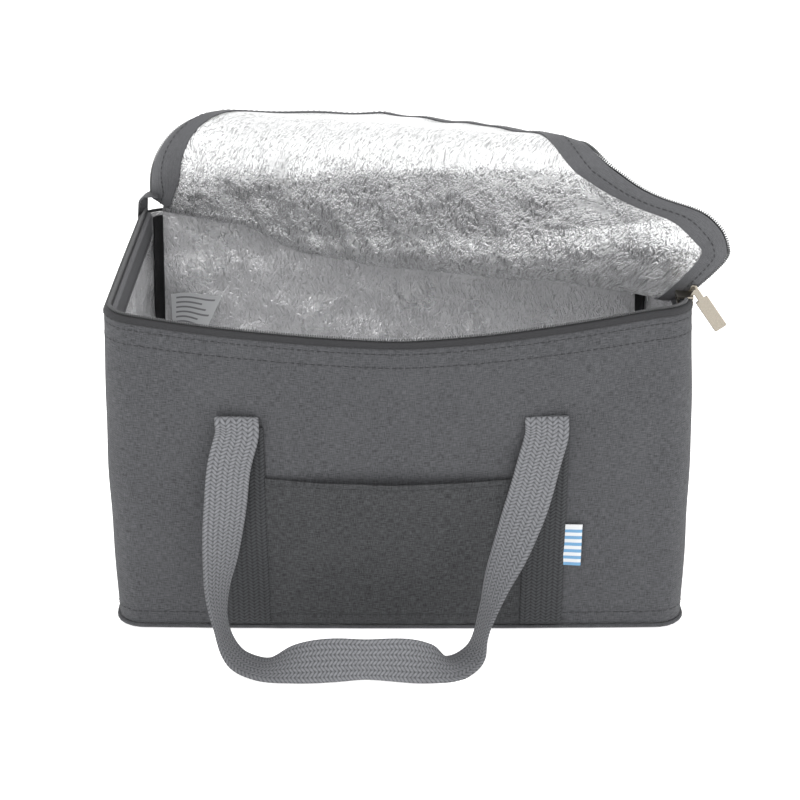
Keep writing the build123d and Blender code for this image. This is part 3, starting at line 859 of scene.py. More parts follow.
def tape_cloth(name, rgb, threads=1100.0, rough=0.8):
    """Close plain tape, evenly dyed."""
    f = Finish(name, rough, sheen=0.04, specular=0.25)
    weave = f.use("Woven threads", {"Warp": threads, "Weft": threads * 0.7})
    worn = f.use("Wear")
    yarn = f.use("Melange yarn", {"Fineness": 1.3})
    base = f.mix(f.between(yarn["Shade"], 0.35, 0.65), shade(rgb, 0.86), shade(rgb, 1.14))
    f.set("Base Color", f.mix(f.between(worn["Rubbed"], 0, 1, 0, 0.15), base, shade(rgb, 1.5)))
    f.set("Roughness", f.between(weave["Height"], 0.0, 1.0, rough, rough - 0.15))
    f.bump(weave["Height"], 0.00018, 0.8)
    return f.material


def band_cloth(name, rgb):
    """Heavy ribbed webbing with darker yarn flecks; its base colour also carries painted shade in the rib
    hollows and a painted highlight on the rib tops.
    """
    f = Finish(name, 0.75, sheen=0.05, specular=0.3)
    ribs = f.use("Webbing ribs")
    worn = f.use("Wear")
    # painted shade in the rib hollows and painted highlight on the rib tops, taken from the ribs' height
    rib_shading = f.mix(f.between(ribs["Height"], 0.15, 0.85), shade(rgb, 0.40), shade(rgb, 1.60))
    spun = f.mix(f.between(ribs["Yarn"], 0.42, 0.60, 0.0, 0.34), rib_shading, shade(rgb, 0.55))
    f.set("Base Color", f.mix(f.between(worn["Rubbed"], 0, 1, 0, 0.12), spun, shade(rgb, 1.5)))
    f.set("Roughness", f.between(ribs["Height"], 0.0, 1.0, 0.9, 0.65))
    f.bump(ribs["Height"], 0.00035, 0.8)
    return f.material


def crinkled_foil(name, rgb, depth=0.00060, metallic=0.94, valley_shade=0.5):
    """Bright crinkled film, its base colour darker in the crinkle valleys as painted shade."""
    f = Finish(name, 0.26, metallic=metallic)
    crinkle = f.use("Foil crinkle")
    worn = f.use("Wear")
    # painted shade: the base colour darkens in the valleys between the crinkle ridges
    f.set("Base Color", f.mix(f.between(crinkle["Ridges"], 0.2, 0.9), shade(rgb, valley_shade), rgb))
    f.set("Roughness", f.between(worn["Rubbed"], 0.0, 1.0, 0.20, 0.34))
    soft = f.bump(crinkle["Creases"], depth * 4.0, 0.9)
    f.bump(crinkle["Ridges"], depth, 0.9, soft)
    return f.material


def plain_finish(name, rgb, rough, metallic=0.0, grain=900.0, depth=0.00005, coat=0.0):
    """Moulded or cast stuff with a fine grain and rubbed patches, on object coordinates."""
    f = Finish(name, rough, metallic=metallic, coat=coat, on_cloth=False)
    worn = f.use("Wear")
    speckle = noise(f.graph, f.place, grain, 3.0)
    f.set("Base Color", f.mix(f.between(speckle, 0.3, 0.7), shade(rgb, 0.9), shade(rgb, 1.1)))
    f.set("Roughness", f.between(worn["Rubbed"], 0.0, 1.0, rough, min(1.0, rough + 0.15)))
    f.bump(speckle, depth, 0.6)
    return f.material


def lit_floor(rgb):
    """Plain pale floor with a little light of its own, so that no hard shadow falls on it."""
    f = Finish("studio_floor", 0.9, on_cloth=False)
    f.shader.inputs["Base Color"].default_value = (*rgb[:3], 1.0)
    f.shader.inputs["Specular IOR Level"].default_value = 0.0
    f.shader.inputs["Emission Color"].default_value = (1.0, 1.0, 1.0, 1.0)
    f.shader.inputs["Emission Strength"].default_value = 0.65
    return f.material


def printed_satin(name, rgb, ink, bars):
    """White satin with plain printed bars. A bar is its left, right, bottom and top in metres."""
    f = Finish(name, 0.45, sheen=0.3)
    maths = f.graph.maths
    parts = f.graph.add("ShaderNodeSeparateXYZ", {0: f.place}).outputs
    weave = f.use("Woven threads", {"Warp": 2200.0, "Weft": 1500.0})
    total = None
    for left, right, bottom, top in bars:
        inside = None
        for part, start, end in ((parts[0], left, right), (parts[1], bottom, top)):
            after, before = maths("GREATER_THAN", part, start), maths("LESS_THAN", part, end)
            step = maths("MULTIPLY", after, before)
            inside = step if inside is None else maths("MULTIPLY", inside, step)
        total = inside if total is None else maths("MAXIMUM", total, inside)
    f.set("Base Color", f.mix(total, rgb, ink))
    f.bump(weave["Height"], 0.00008, 0.5)
    return f.material


def finish_of(context, name):
    """The named material, made the first time that a piece asks for it."""
    made = bpy.data.materials.get(name)
    if made:
        return made
    c = context.scene.bag_colours
    rows = [(0.0035, 0.0305 - 0.004 * (k % 3), 0.004 + 0.0034 * k, 0.0052 + 0.0034 * k) for k in range(7)]
    stripes = [(0.0, 0.011, 0.0045 * k, 0.0045 * k + 0.0022) for k in range(6)]
    makers = {
        "outer_melange": lambda: spun_cloth(name, c.melange[:]),
        "pocket_fabric": lambda: spun_cloth(name, c.pocket[:], contrast=0.62),
        "facing_cloth": lambda: tape_cloth(name, c.facing[:]),
        # painted shade: the corner tapes' near-black colour stands partly for the shade in the inner corners
        "binding_tape": lambda: tape_cloth(name, c.binding[:]),
        "zip_cloth": lambda: tape_cloth(name, c.zip_tape[:], 1500.0),
        "nylon_coil": lambda: plain_finish(name, c.zip_coil[:], 0.38, coat=0.2),
        "handle_webbing": lambda: band_cloth(name, c.webbing[:]),
        # painted shade: the straps' finish is the handles' webbing in a darker copy
        "strap_webbing": lambda: band_cloth(name, c.strap[:]),
        "foil_film": lambda: crinkled_foil(name, c.foil[:], metallic=0.66, valley_shade=0.72),
        # painted shade: the lid's foil is a darker copy of the walls' foil
        "lid_foil": lambda: crinkled_foil(name, c.lid_foil[:]),
        "foam_core": lambda: plain_finish(name, c.foam[:], 0.95, grain=700.0, depth=0.0004),
        "sewing_thread": lambda: plain_finish(name, c.thread[:], 0.7, grain=3000.0),
        "satin_blue": lambda: printed_satin(name, c.label[:], c.print_blue[:], stripes),
        "satin_grey": lambda: printed_satin(name, c.label[:], c.print_grey[:], rows),
        "cast_metal": lambda: plain_finish(name, c.metal[:], 0.26, 1.0, 1500.0, 0.00003),
    }
    return makers[name]()


# ---------------------------------------------------------------- the frame's calls


def settle(piece, body, slot_name, *nodes):
    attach(piece, body)
    if nodes:
        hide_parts(*nodes)
    return piece


def cut_size(piece):
    """Width, length and area of the flat cloth that a piece was cut from, from its pattern coordinates."""
    layer = piece.data.uv_layers["cloth"].data
    uv = np.zeros(len(layer) * 2, np.float32)
    layer.foreach_get("uv", uv)
    uv = uv.reshape(-1, 2).astype(float)
    span = uv.max(0) - uv.min(0)
    area = 0.0
    for polygon in piece.data.polygons:
        ring = uv[list(polygon.loop_indices)]
        after = np.roll(ring, -1, 0)
        area += abs((ring[:, 0] * after[:, 1] - ring[:, 1] * after[:, 0]).sum()) / 2
    return (float(span[0]), float(span[1])), float(min(area / 2, span[0] * span[1]))


def cloth(piece, held, rests_on=()):
    flat, area = cut_size(piece)
    list(rests_on)
    return piece


def thicken(grid, thick, toward):
    """Outer and inner grids of a sheet whose shown face is the given grid, on the side toward points to."""
    normal = unit(np.cross(np.gradient(grid, axis=0), np.gradient(grid, axis=1)))
    flip = np.sign((normal * toward).sum(-1, keepdims=True))
    normal = normal * np.where(flip == 0, 1, flip)
    return grid, grid - normal * thick


def outward(bag, s):
    _, _, ox, oy = bag.outline(s, bag.s.height)
    return np.stack([ox, oy, np.zeros_like(ox)], -1)


def wall_band(name, bag, s, profile, thick, material, inside=False):
    """A band that follows the walls. profile is a row of (out, z) places from one long edge to the other."""
    profile = np.array(profile)
    rows, columns = grid_of(s, np.arange(len(profile)))
    grid = bag.wall(rows, profile[columns, 1], profile[columns, 0])
    way = outward(bag, rows)
    toward = -way if inside else way + np.array([0, 0, 0.9])
    outer, inner = thicken(grid, thick, toward)
    run = np.concatenate([[0], np.cumsum(np.linalg.norm(np.diff(profile, axis=0), axis=1))])
    return thin_sheet(name, outer, inner, np.stack([rows, run[columns]], -1), material)


def wall_line(bag, s, z, out):
    """Points and facing of a seam that runs round the walls."""
    s = np.asarray(s, float)
    return bag.wall(s, np.zeros_like(s) + z, out), outward(bag, s)


def lid_band(name, bag, s, profile, thick, material, foil_side):
    """A band along the lid's edge. profile is a row of (inset, height) places, outermost first."""
    profile = np.array(profile)
    rows, columns = grid_of(s, np.arange(len(profile)))
    x, y = bag.lid_edge(rows, profile[columns, 0])
    side = -1 if foil_side else 1
    grid = bag.lid(x, y, profile[columns, 1] * side)
    outer, inner = thicken(grid, thick, side * bag.lid_normal(x, y))
    return thin_sheet(name, outer, inner, np.stack([rows, profile[columns, 0]], -1), material)


def lid_line(bag, s, inset, height):
    x, y = bag.lid_edge(np.asarray(s, float), inset)
    points = bag.lid(x, y, height)
    return points, bag.lid(x, y, height + math.copysign(0.001, height)) - points


def lid_sheet(name, bag, rays, inset, top, bottom, material):
    """One layer of the lid between two rays from its hinged corner, from height bottom to height top."""
    near, far = bag.lid_reach(rays, inset)
    ray, share = grid_of(rays, np.linspace(0, 1, 170))
    away = near[:, None] + (far - near)[:, None] * share
    x = bag.apex[0] + away * np.cos(bag.base - ray)
    y = bag.apex[1] + away * np.sin(bag.base - ray)
    return thin_sheet(name, bag.lid(x, y, top), bag.lid(x, y, bottom), np.stack([x, y], -1), material)


def blend_lid(bag, piece, part):
    """Bakes a finished lid piece's placing into its mesh. The direction across its fold is worked out but not
    used.
    """
    corner = Vector(bag.apex)
    if part == "rear":
        across = Vector((math.sin(bag.base), -math.cos(bag.base), 1.0)).normalized()
        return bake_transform(piece)
    beyond = np.array([bag.ridge[1], -bag.ridge[0]])
    level, side = beyond @ bag.crease[:2], beyond @ bag.away[:2]
    tilt = bag.l.side_fold
    up = np.array([0.0, 0.0, 1.0])
    rising = level * bag.crease + side * (math.cos(tilt) * bag.away + math.sin(tilt) * up)
    normal = math.cos(tilt) * up - math.sin(tilt) * bag.away
    falling = math.cos(bag.l.curl_fold) * rising + math.sin(bag.l.curl_fold) * normal
    across, ridge = Vector(rising + falling).normalized(), Vector(CURL["pos_m"])
    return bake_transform(piece)


class BagOperator:
    """What the bag's operators share."""

    bl_options = {"REGISTER", "UNDO"}

    def execute(self, context):
        self.build(context, BagShape(context))
        return {"FINISHED"}


class BAG_OT_stage(BagOperator, bpy.types.Operator):
    """Sets the pale floor, the soft lights and the camera"""

    bl_idname = "bag.stage"
    bl_label = "Stage"

    def build(self, context, bag):
        floor = new_piece(
            "studio_floor",
            [(-5, -5, 0), (5, -5, 0), (5, 5, 0), (-5, 5, 0)],
            [(0, 1, 2, 3)],
            lit_floor(context.scene.bag_colours.floor[:]),
            smooth=False,
        )
        world = bpy.data.worlds.new("studio")
        context.scene.world = world
        world.use_nodes = True
        sky = world.node_tree.nodes["Background"]
        sky.inputs["Color"].default_value = (1.0, 1.0, 1.0, 1.0)
        g = Graph(world.node_tree)
        up = g.add("ShaderNodeSeparateXYZ", {0: g.add("ShaderNodeTexCoord").outputs["Generated"]}).outputs[2]
        low_bright = g.add("ShaderNodeMapRange", {0: up, 1: 0.30, 2: 0.80, 3: 1.45, 4: 0.85}).outputs[0]
        world.node_tree.links.new(low_bright, sky.inputs["Strength"])
        lamps = (
            ("key", (-0.7, -1.1, 1.5), 1.3, 14.0),
            ("top", (0.1, 0.5, 1.9), 1.6, 9.0),
            ("side", (1.5, -0.3, 0.9), 0.9, 9.0),
        )
        for name, place, size, power in lamps:
            data = bpy.data.lights.new(name, "AREA")
            data.shape, data.size, data.energy = "SQUARE", size, power
            lamp = bpy.data.objects.new(name, data)
            lamp.location = place
            lamp.rotation_mode = "QUATERNION"
            lamp.rotation_quaternion = (Vector((0, 0, 0.12)) - Vector(place)).to_track_quat("-Z", "Y")
            context.scene.collection.objects.link(lamp)
        lens = bpy.data.cameras.new("camera")
        lens.lens, lens.sensor_width, lens.clip_start = 94.2, 36.0, 0.05
        camera = bpy.data.objects.new("camera", lens)
        camera.location = (0.0, -1.228, 0.598)
        camera.rotation_euler = (math.radians(68.1), 0.0, 0.0)
        context.scene.collection.objects.link(camera)
        context.scene.camera = camera
        context.scene.view_settings.view_transform = "Standard"


class BAG_OT_walls(BagOperator, bpy.types.Operator):
    """Makes the outer fabric, the foam core and the base"""

    bl_idname = "bag.walls"
    bl_label = "Walls and base"

    def build(self, context, bag):
        s = bag.s
        fabric, foam = finish_of(context, "outer_melange"), finish_of(context, "foam_core")
        rows, z = grid_of(np.linspace(0, bag.round, 330), np.linspace(0.0035, s.height - 0.0014, 66))
        places = np.stack([rows, z], -1)
        outer = thin_sheet("outer_fabric", bag.wall(rows, z, 0.0), bag.wall(rows, z, -s.cloth), places, fabric)
        sides = [f"shell_{side}" for side in ("front", "back", "left", "right")]
        cloth(settle(outer, "bag_body", "melange_fabric", *sides), "stretched")
        rows, z = grid_of(np.linspace(0, bag.round, 150), np.linspace(0.006, s.height - 0.003, 24))
        core = thin_sheet(
            "wall_foam",
            bag.wall(rows, z, -s.cloth - 0.0003),
            bag.wall(rows, z, -s.wall + s.foil + 0.0016),
            np.stack([rows, z], -1),
            foam,
        )
        settle(core, "bag_body", "foam", *[n.replace("shell", "foam") for n in sides])
        base = plate("base_fabric", bag, 0.0018, 0.0003, -0.0006, fabric)
        cloth(settle(base, "bag_body", "melange_fabric", "shell_base"), "laid")
        pad = plate("base_foam", bag, 0.0052, 0.0021, -0.0016, foam)
        settle(pad, "bag_body", "foam", "foam_base")


class BAG_OT_lining(BagOperator, bpy.types.Operator):
    """Makes the foil lining, its corner tapes and the band inside the rim"""

    bl_idname = "bag.lining"
    bl_label = "Lining"

    def build(self, context, bag):
        s = bag.s
        # the corner tapes' near-black finish is partly painted shade of the inner corners
        foil, tape = finish_of(context, "foil_film"), finish_of(context, "binding_tape")
        rows, z = grid_of(np.linspace(0, bag.round, 440), np.linspace(0.0054, s.height - 0.002, 100))
        envelope = np.sin(math.pi * np.clip(z / s.height, 0, 1)) ** 0.6
        creases = 1 - np.abs(ripples(rows, z, 0.020, 41, 16, 0.8))
        slack = ripples(rows, z, 0.060, 42, 12, 1.6)
        into = envelope * s.foil_relief * (0.9 * creases + 1.2 * slack + 0.6)
        places = np.stack([rows, z], -1)
        lining = thin_sheet(
            "foil_lining",
            bag.wall(rows, z, -s.wall - into),
            bag.wall(rows, z, -s.wall - into + s.foil),
            places,
            foil,
        )
        sides = [f"liner_{side}" for side in ("front", "back", "left", "right")]
        cloth(settle(lining, "bag_body", "foil_liner", *sides), "stretched")
        floor = plate("foil_floor", bag, 0.0066, 0.0056, -s.wall - 0.0003, foil, relief=0.0008, rings=60)
        cloth(settle(floor, "bag_body", "foil_liner", "liner_base"), "laid")
        quarter = math.pi * s.corner / 4
        corners = {
            "back_left": bag.back_half + quarter,
            "front_left": bag.front_start - quarter,
            "front_right": bag.right_start - quarter,
            "back_right": bag.round - bag.back_half - quarter,
        }
        for name, middle in corners.items():
            rows, z = grid_of(np.linspace(-s.tape, s.tape, 9) * 0.9, np.linspace(0.007, s.height - 0.004, 60))
            ruffle = 0.0005 * ripples(rows, z, 0.02, 7 + len(name)) - s.wall - 0.0026
            grid = bag.wall(middle + rows * (0.55 + 0.45 * z / s.height), z, ruffle)
            outer, inner = thicken(grid, 0.0007, -outward(bag, middle + rows))
            piece = thin_sheet(f"corner_tape_{name}", outer, inner, np.stack([rows, z], -1), tape)
            settle(piece, "bag_body", "dark_binding", f"corner_binding_{name}")
        span = np.linspace(bag.at_left(0.092), bag.at_right(0.092), 300)
        profile = [(-0.0046, s.height + 0.0004), (-0.0056, s.height + 0.0002)]
        profile += [(-s.wall - 0.0016, s.height - 0.001 - k * (s.facing - 0.001) / 4) for k in range(5)]
        cloth_band = finish_of(context, "facing_cloth")
        facing = wall_band("rim_facing", bag, span, profile, 0.0006, cloth_band, inside=True)
        cloth(settle(facing, "bag_body", "grey_facing", "rim_facing"), "stretched")
        lines = [wall_line(bag, np.linspace(span[0], span[-1], 500), s.height - 0.0145, -s.wall - 0.0017)]
        lines[0] = (lines[0][0], -lines[0][1])
        rows = stitches(context, "facing_stitches", lines, finish_of(context, "sewing_thread"), 3)
        settle(rows, "bag_body", "dark_binding")


class BAG_OT_seams(BagOperator, bpy.types.Operator):
    """Makes the hem round the base and the rows of stitches on the outer fabric"""

    bl_idname = "bag.seams"
    bl_label = "Hem and stitching"

    def build(self, context, bag):
        s, thread = bag.s, finish_of(context, "sewing_thread")
        rows, turn = grid_of(np.linspace(0, bag.round, 240), np.linspace(0, 2 * math.pi, 13))
        flat = 0.0013 + 0.0002 * ripples(rows, turn * 0, 0.02, 13)
        grid = bag.wall(rows, 0.0020 + 0.0013 * np.sin(turn), 0.0006 + flat * np.cos(turn))
        middle = bag.wall(rows, 0.0020, 0.0006)
        hem = thin_sheet(
            "hem_binding",
            grid,
            middle + (grid - middle) * 0.55,
            np.stack([rows, turn * 0.002], -1),
            finish_of(context, "outer_melange"),
        )
        settle(hem, "bag_body", "melange_fabric", "base_seam_binding")
        span = np.linspace(0, bag.round, 700)
        front = np.linspace(bag.at_left(0.092), bag.at_right(0.092), 600)
        lines = [wall_line(bag, front, s.height - k, 0.0002) for k in (0.0060, 0.0150)]
        lines.append(wall_line(bag, span, 0.0115, 0.0002))
        settle(stitches(context, "wall_stitches", lines, thread, 5), "bag_body", "melange_fabric")


class BAG_OT_body_zip(BagOperator, bpy.types.Operator):
    """Makes the zip's tape and coil along the rim, with the tabs over its ends"""

    bl_idname = "bag.body_zip"
    bl_label = "Rim zip"

    def build(self, context, bag):
        s, h = bag.s, bag.s.height
        span = np.linspace(bag.at_left(0.094), bag.at_right(0.094), 420)
        profile = [(0.0004, h - 0.0024), (0.0006, h - 0.0014), (0.0004, h - 0.0004), (-0.0008, h + 0.0008)]
        profile += [(-0.0026, h + 0.0012), (-0.0048, h + 0.0011)]
        tape = wall_band("rim_zip_tape", bag, span, profile, 0.0005, finish_of(context, "zip_cloth"))
        settle(tape, "bag_body", "zip_tape", "body_zip_tape")
        points, facing = wall_line(bag, np.linspace(span[0], span[-1], 900), h + 0.0020, -0.0032)
        coil = bead_rows(
            "rim_zip_coil",
            [(points, facing)],
            s.zip_pitch,
            (s.tooth * 1.05, 0.0019, 0.00098),
            finish_of(context, "nylon_coil"),
            uneven=0.03,
            slant=0.0,
        )
        settle(coil, "bag_body", "zip_coil", "body_zip_coil")
        lines = [wall_line(bag, np.linspace(span[0], span[-1], 700), h - 0.0018, 0.0008)]
        rows = stitches(context, "rim_zip_stitches", lines, finish_of(context, "sewing_thread"), 8)
        settle(rows, "bag_body", "zip_tape")
        ends = {
            "left": (bag.at_left(0.103), bag.at_left(0.086)),
            "right": (bag.at_right(0.0935), bag.at_right(0.103)),
        }
        for side, (start, end) in ends.items():
            tall = 0.0080 if side == "left" else 0.0
            profile = [(0.0010, h - 0.006), (0.0014, h), (0.0006, h + 0.0032 + tall * 0.7)]
            profile += [(-0.0030, h + 0.0044 + tall)]
            profile += [(-0.0085, h + 0.0046 + tall), (-0.0120, h + 0.0040 + tall)]
            span = np.linspace(start, end, 24)
            tab = wall_band(f"zip_end_{side}", bag, span, profile, 0.0008, finish_of(context, "facing_cloth"))
            settle(tab, "bag_body", "grey_facing", f"zip_end_tab_{side}")


class BAG_OT_pocket(BagOperator, bpy.types.Operator):
    """Makes the front pocket with its hem"""

    bl_idname = "bag.pocket"
    bl_label = "Pocket"

    def build(self, context, bag):
        s = bag.s
        across = np.linspace(bag.at_front(-0.0776), bag.at_front(0.0716), 140)
        rows, z = grid_of(across, np.linspace(0.0050, s.pocket_top, 64))
        out = pocket_out(bag, rows, z)
        places = np.stack([rows, z], -1)
        outer, inner = bag.wall(rows, z, out), bag.wall(rows, z, out - s.cloth)
        pocket = thin_sheet("front_pocket", outer, inner, places, finish_of(context, "pocket_fabric"))
        cloth(settle(pocket, "bag_body", "melange_fabric", "front_pocket"), "stretched")
        span = np.linspace(bag.at_front(-0.0770), bag.at_front(0.0710), 240)
        lines = []
        for height in (s.pocket_top - 0.0036, 0.0115):
            level = np.full_like(span, height)
            lines.append((bag.wall(span, level, pocket_out(bag, span, level) + 0.0002), outward(bag, span)))
        rows = stitches(context, "pocket_stitches", lines, finish_of(context, "sewing_thread"), 6)
        settle(rows, "bag_body", "melange_fabric")


def pocket_out(bag, rows, z):
    """How far the pocket's cloth stands off the wall: held down by the straps."""
    s = bag.s
    x = rows - bag.at_front(0.0)
    start, end = s.strap_left + s.webbing / 2, s.strap_right - s.webbing / 2
    share = np.sin(math.pi * np.clip((x - start) / (end - start), 0, 1))
    open_share = np.clip(z / s.pocket_top, 0, 1) ** 2.2
    hem = 0.0006 * ease(s.pocket_top - 0.0072, s.pocket_top - 0.0060, z)
    soft = 0.0005 * ripples(x, z, 0.05, 17) * share
    return 0.0013 + s.pocket_gap * share * open_share + hem + soft


class BAG_OT_straps(BagOperator, bpy.types.Operator):
    """Makes the webbing straps sewn to the front and back walls"""

    bl_idname = "bag.straps"
    bl_label = "Sewn straps"

    def build(self, context, bag):
        s = bag.s
        # the straps' finish carries painted shade: a darker copy of the handles' webbing
        thread, webbing = finish_of(context, "sewing_thread"), finish_of(context, "strap_webbing")
        heights = np.linspace(0.0048, s.strap_top, 16)
        for wall, sides in (("front", 1), ("back", -1)):
            for name, middle in (("left", s.strap_left), ("right", s.strap_right)):
                place = bag.at_front(middle) if wall == "front" else (-middle) % bag.round
                lift = np.zeros_like(heights) + 0.0011
                route = bag.wall(place, heights, lift + 0.0002)
                side = bag.wall(place + 0.002, heights, lift) - bag.wall(place - 0.002, heights, lift)
                strap_name = f"{wall}_strap_{name}"
                strap = webbing_band(strap_name, route, unit(side), s.webbing, s.webbing_thick, webbing, 70)
                settle(strap, "bag_body", "webbing", strap_name)
                lines = []
                for across in (-0.0102, 0.0102):
                    line = np.linspace(0.007, s.strap_top - 0.004, 90)
                    off = np.interp(line, heights, lift) + s.webbing_thick / 2 + 0.0002
                    at = np.full_like(line, place + across)
                    lines.append((bag.wall(at, line, off), outward(bag, at)))
                for height in (s.strap_top - 0.004, s.strap_top - 0.026):
                    at = np.linspace(place - 0.010, place + 0.010, 20)
                    off = np.interp(height, heights, lift) + s.webbing_thick / 2 + 0.0002
                    lines.append((bag.wall(at, np.full_like(at, height), off), outward(bag, at)))
                rows = stitches(context, f"{wall}_strap_{name}_stitches", lines, thread, 11)
                settle(rows, "bag_body", "webbing")


class BAG_OT_labels(BagOperator, bpy.types.Operator):
    """Makes the small folded label on the right strap and the label sewn inside the back wall"""

    bl_idname = "bag.labels"
    bl_label = "Labels"

    def build(self, context, bag):
        s = bag.s
        across, up = grid_of(np.linspace(0, 0.011, 12), np.linspace(0, 0.028, 24))
        start = bag.at_front(s.strap_right + s.webbing / 2 - 0.0012)
        rows, z = start + across, 0.046 + up
        lift = 0.0016 + 0.0016 * ease(0, 0.011, across) + 0.0003 * np.sin(up * 220)
        grid = bag.wall(rows, z, lift)
        outer, inner = thicken(grid, 0.0006, outward(bag, rows))
        satin = finish_of(context, "satin_blue")
        label = thin_sheet("folded_label", outer, inner, np.stack([across, up], -1), satin)
        settle(label, "bag_body", "white_label", "flag_label")
        across, up = grid_of(np.linspace(0, 0.034, 28), np.linspace(0, 0.028, 24))
        x = -0.153 + across * (0.60 + 0.40 * up / 0.028)
        z = 0.1135 + up + 0.0012 * np.sin(across * 160)
        curled = 0.004 * ease(0.008, 0.034, across) * ease(0.028, 0.0, up)
        y = high("liner_back", "y") - s.wall * 0.25 - 0.0042 - curled
        outer, inner = thicken(np.stack([x, y, z], -1), 0.0003, np.array([0, -1.0, 0]))
        satin = finish_of(context, "satin_grey")
        label = thin_sheet("inner_label", outer, inner, np.stack([across, up], -1), satin)
        settle(label, "bag_body", "white_label", "care_label")


class BAG_OT_lid(BagOperator, bpy.types.Operator):
    """Makes the lid's two pieces: fabric, foam and foil, folded about its hinged corner"""

    bl_idname = "bag.lid"
    bl_label = "Lid"

    def build(self, context, bag):
        s, l = bag.s, bag.l
        half = s.lid_half
        layers = (
            ("fabric", "outer_melange", "melange_fabric", half, half - s.cloth, "shell"),
            ("foam", "foam_core", "foam", half - s.cloth - 0.0002, -half + s.foil + 0.0002, "foam"),
            ("foil", "lid_foil", "foil_liner", -half, -half + s.foil, "liner"),
        )
        edges = (-bag.lid_start, l.seam, bag.lid_end)
        for part, first, last in (("rear", edges[0], edges[1]), ("front", edges[1], edges[2])):
            rays = np.linspace(first, last, 170)
            for layer, finish, slot_name, top, bottom, node in layers:
                material = finish_of(context, finish)
                piece = lid_sheet(f"lid_{part}_{layer}", bag, rays, LID_PANEL_INSET, top, bottom, material)
                nodes = [f"lid_{part}_{node}"] + ([f"lid_side_{node}"] if part == "rear" else [])
                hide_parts(*nodes)
                if layer == "foam":
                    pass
                else:
                    cloth(piece, "folded")
                blend_lid(bag, piece, part)


class BAG_OT_lid_edge(BagOperator, bpy.types.Operator):
    """Makes the band, tape, coil and stitches along the lid's edge"""

    bl_idname = "bag.lid_edge"
    bl_label = "Lid edge and zip"

    def build(self, context, bag):
        s = bag.s
        seam = bag.seam_place(bag.l.seam)
        start, end = bag.at_left(0.094), bag.at_right(0.094)
        thread, band = finish_of(context, "sewing_thread"), finish_of(context, "facing_cloth")
        inner = [(0.0068, 0.0007), (0.0080, 0.0015), (0.0115, 0.0031), (0.0150, 0.0037), (0.0195, 0.0036)]
        outer = [(0.0068, 0.0007), (0.0085, 0.0016), (0.0125, 0.0033), (0.0155, 0.0037), (0.0180, 0.0036)]
        for part, spans in (("front", [(start, seam)]), ("rear", [(seam, end)])):
            span = np.linspace(*spans[0], 300 if part == "front" else 190)
            fine = np.linspace(span[0], span[-1], 900)
            names = ("lid_rear", "lid_side") if part == "rear" else ("lid_front", "lid_side_left")
            facing = lid_band(f"lid_{part}_facing", bag, span, inner, 0.0006, band, True)
            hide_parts(*[f"{n}_facing" for n in names])
            woven = finish_of(context, "zip_cloth")
            tape = lid_band(f"lid_{part}_zip_tape", bag, span, outer, 0.0006, woven, False)
            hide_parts(*[f"{n}_zip_tape" for n in names])
            coil = bead_rows(
                f"lid_{part}_zip_coil",
                [lid_line(bag, fine, 0.0060, 0.00001)],
                s.zip_pitch,
                (0.0019, s.tooth * 1.05, 0.00098),
                finish_of(context, "nylon_coil"),
                uneven=0.03,
            )
            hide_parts(*[f"{n}_zip_coil" for n in names])
            lines = [lid_line(bag, fine, 0.0128, -0.0038), lid_line(bag, fine, 0.0165, 0.0039)]
            rows = stitches(context, f"lid_{part}_stitches", lines, thread, 14)
            for piece in (facing, tape, coil, rows):
                blend_lid(bag, piece, part)


class BAG_OT_hinge(BagOperator, bpy.types.Operator):
    """Makes the cloth strip that hinges the lid to the back wall"""

    bl_idname = "bag.hinge"
    bl_label = "Hinge strip"

    def build(self, context, bag):
        back = bag.half_d
        h = bag.s.height
        profile = np.array(
            [
                (back + 0.0009, h - 0.014),
                (back + 0.0009, h - 0.005),
                (back + 0.0006, h + 0.001),
                (back - 0.0012, h + 0.0044),
                (back - 0.0050, h + 0.0062),
                (back - 0.0110, h + 0.0063),
                (back - 0.0190, h + 0.0062),
            ]
        )
        across, step = grid_of(np.linspace(-0.153, 0.153, 130), np.arange(len(profile)))
        ruffle = 0.0003 * ripples(across, step * 0.004, 0.03, 23)
        grid = np.stack([across, profile[step, 0] + ruffle, profile[step, 1] + ruffle], -1)
        outer, inner = thicken(grid, 0.0008, np.array([0, 0.7, 0.7]))
        run = np.concatenate([[0], np.cumsum(np.linalg.norm(np.diff(profile, axis=0), axis=1))])
        places = np.stack([across, run[step]], -1)
        strip = thin_sheet("hinge_strip", outer, inner, places, finish_of(context, "facing_cloth"))
        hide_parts("lid_hinge_tape", "lid_rear_hinge_tape")
        cloth(strip, "folded")
        hinge = Vector(HINGE["pos_m"])
        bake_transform(strip)
        line = np.linspace(-0.151, 0.151, 400)
        level = np.zeros_like(line)
        places = [
            (np.stack([line, level + back + 0.0011, level + h - 0.009], -1), level[:, None] + [0, 1.0, 0]),
            (np.stack([line, level + back - 0.0165, level + h + 0.0064], -1), level[:, None] + [0, 0, 1.0]),
        ]
        for name, body, row in (("lower", "bag_body", places[0]), ("upper", "lid_rear", places[1])):
            rows = stitches(context, f"hinge_stitches_{name}", [row], finish_of(context, "sewing_thread"), 15)
            settle(rows, body, "grey_facing")


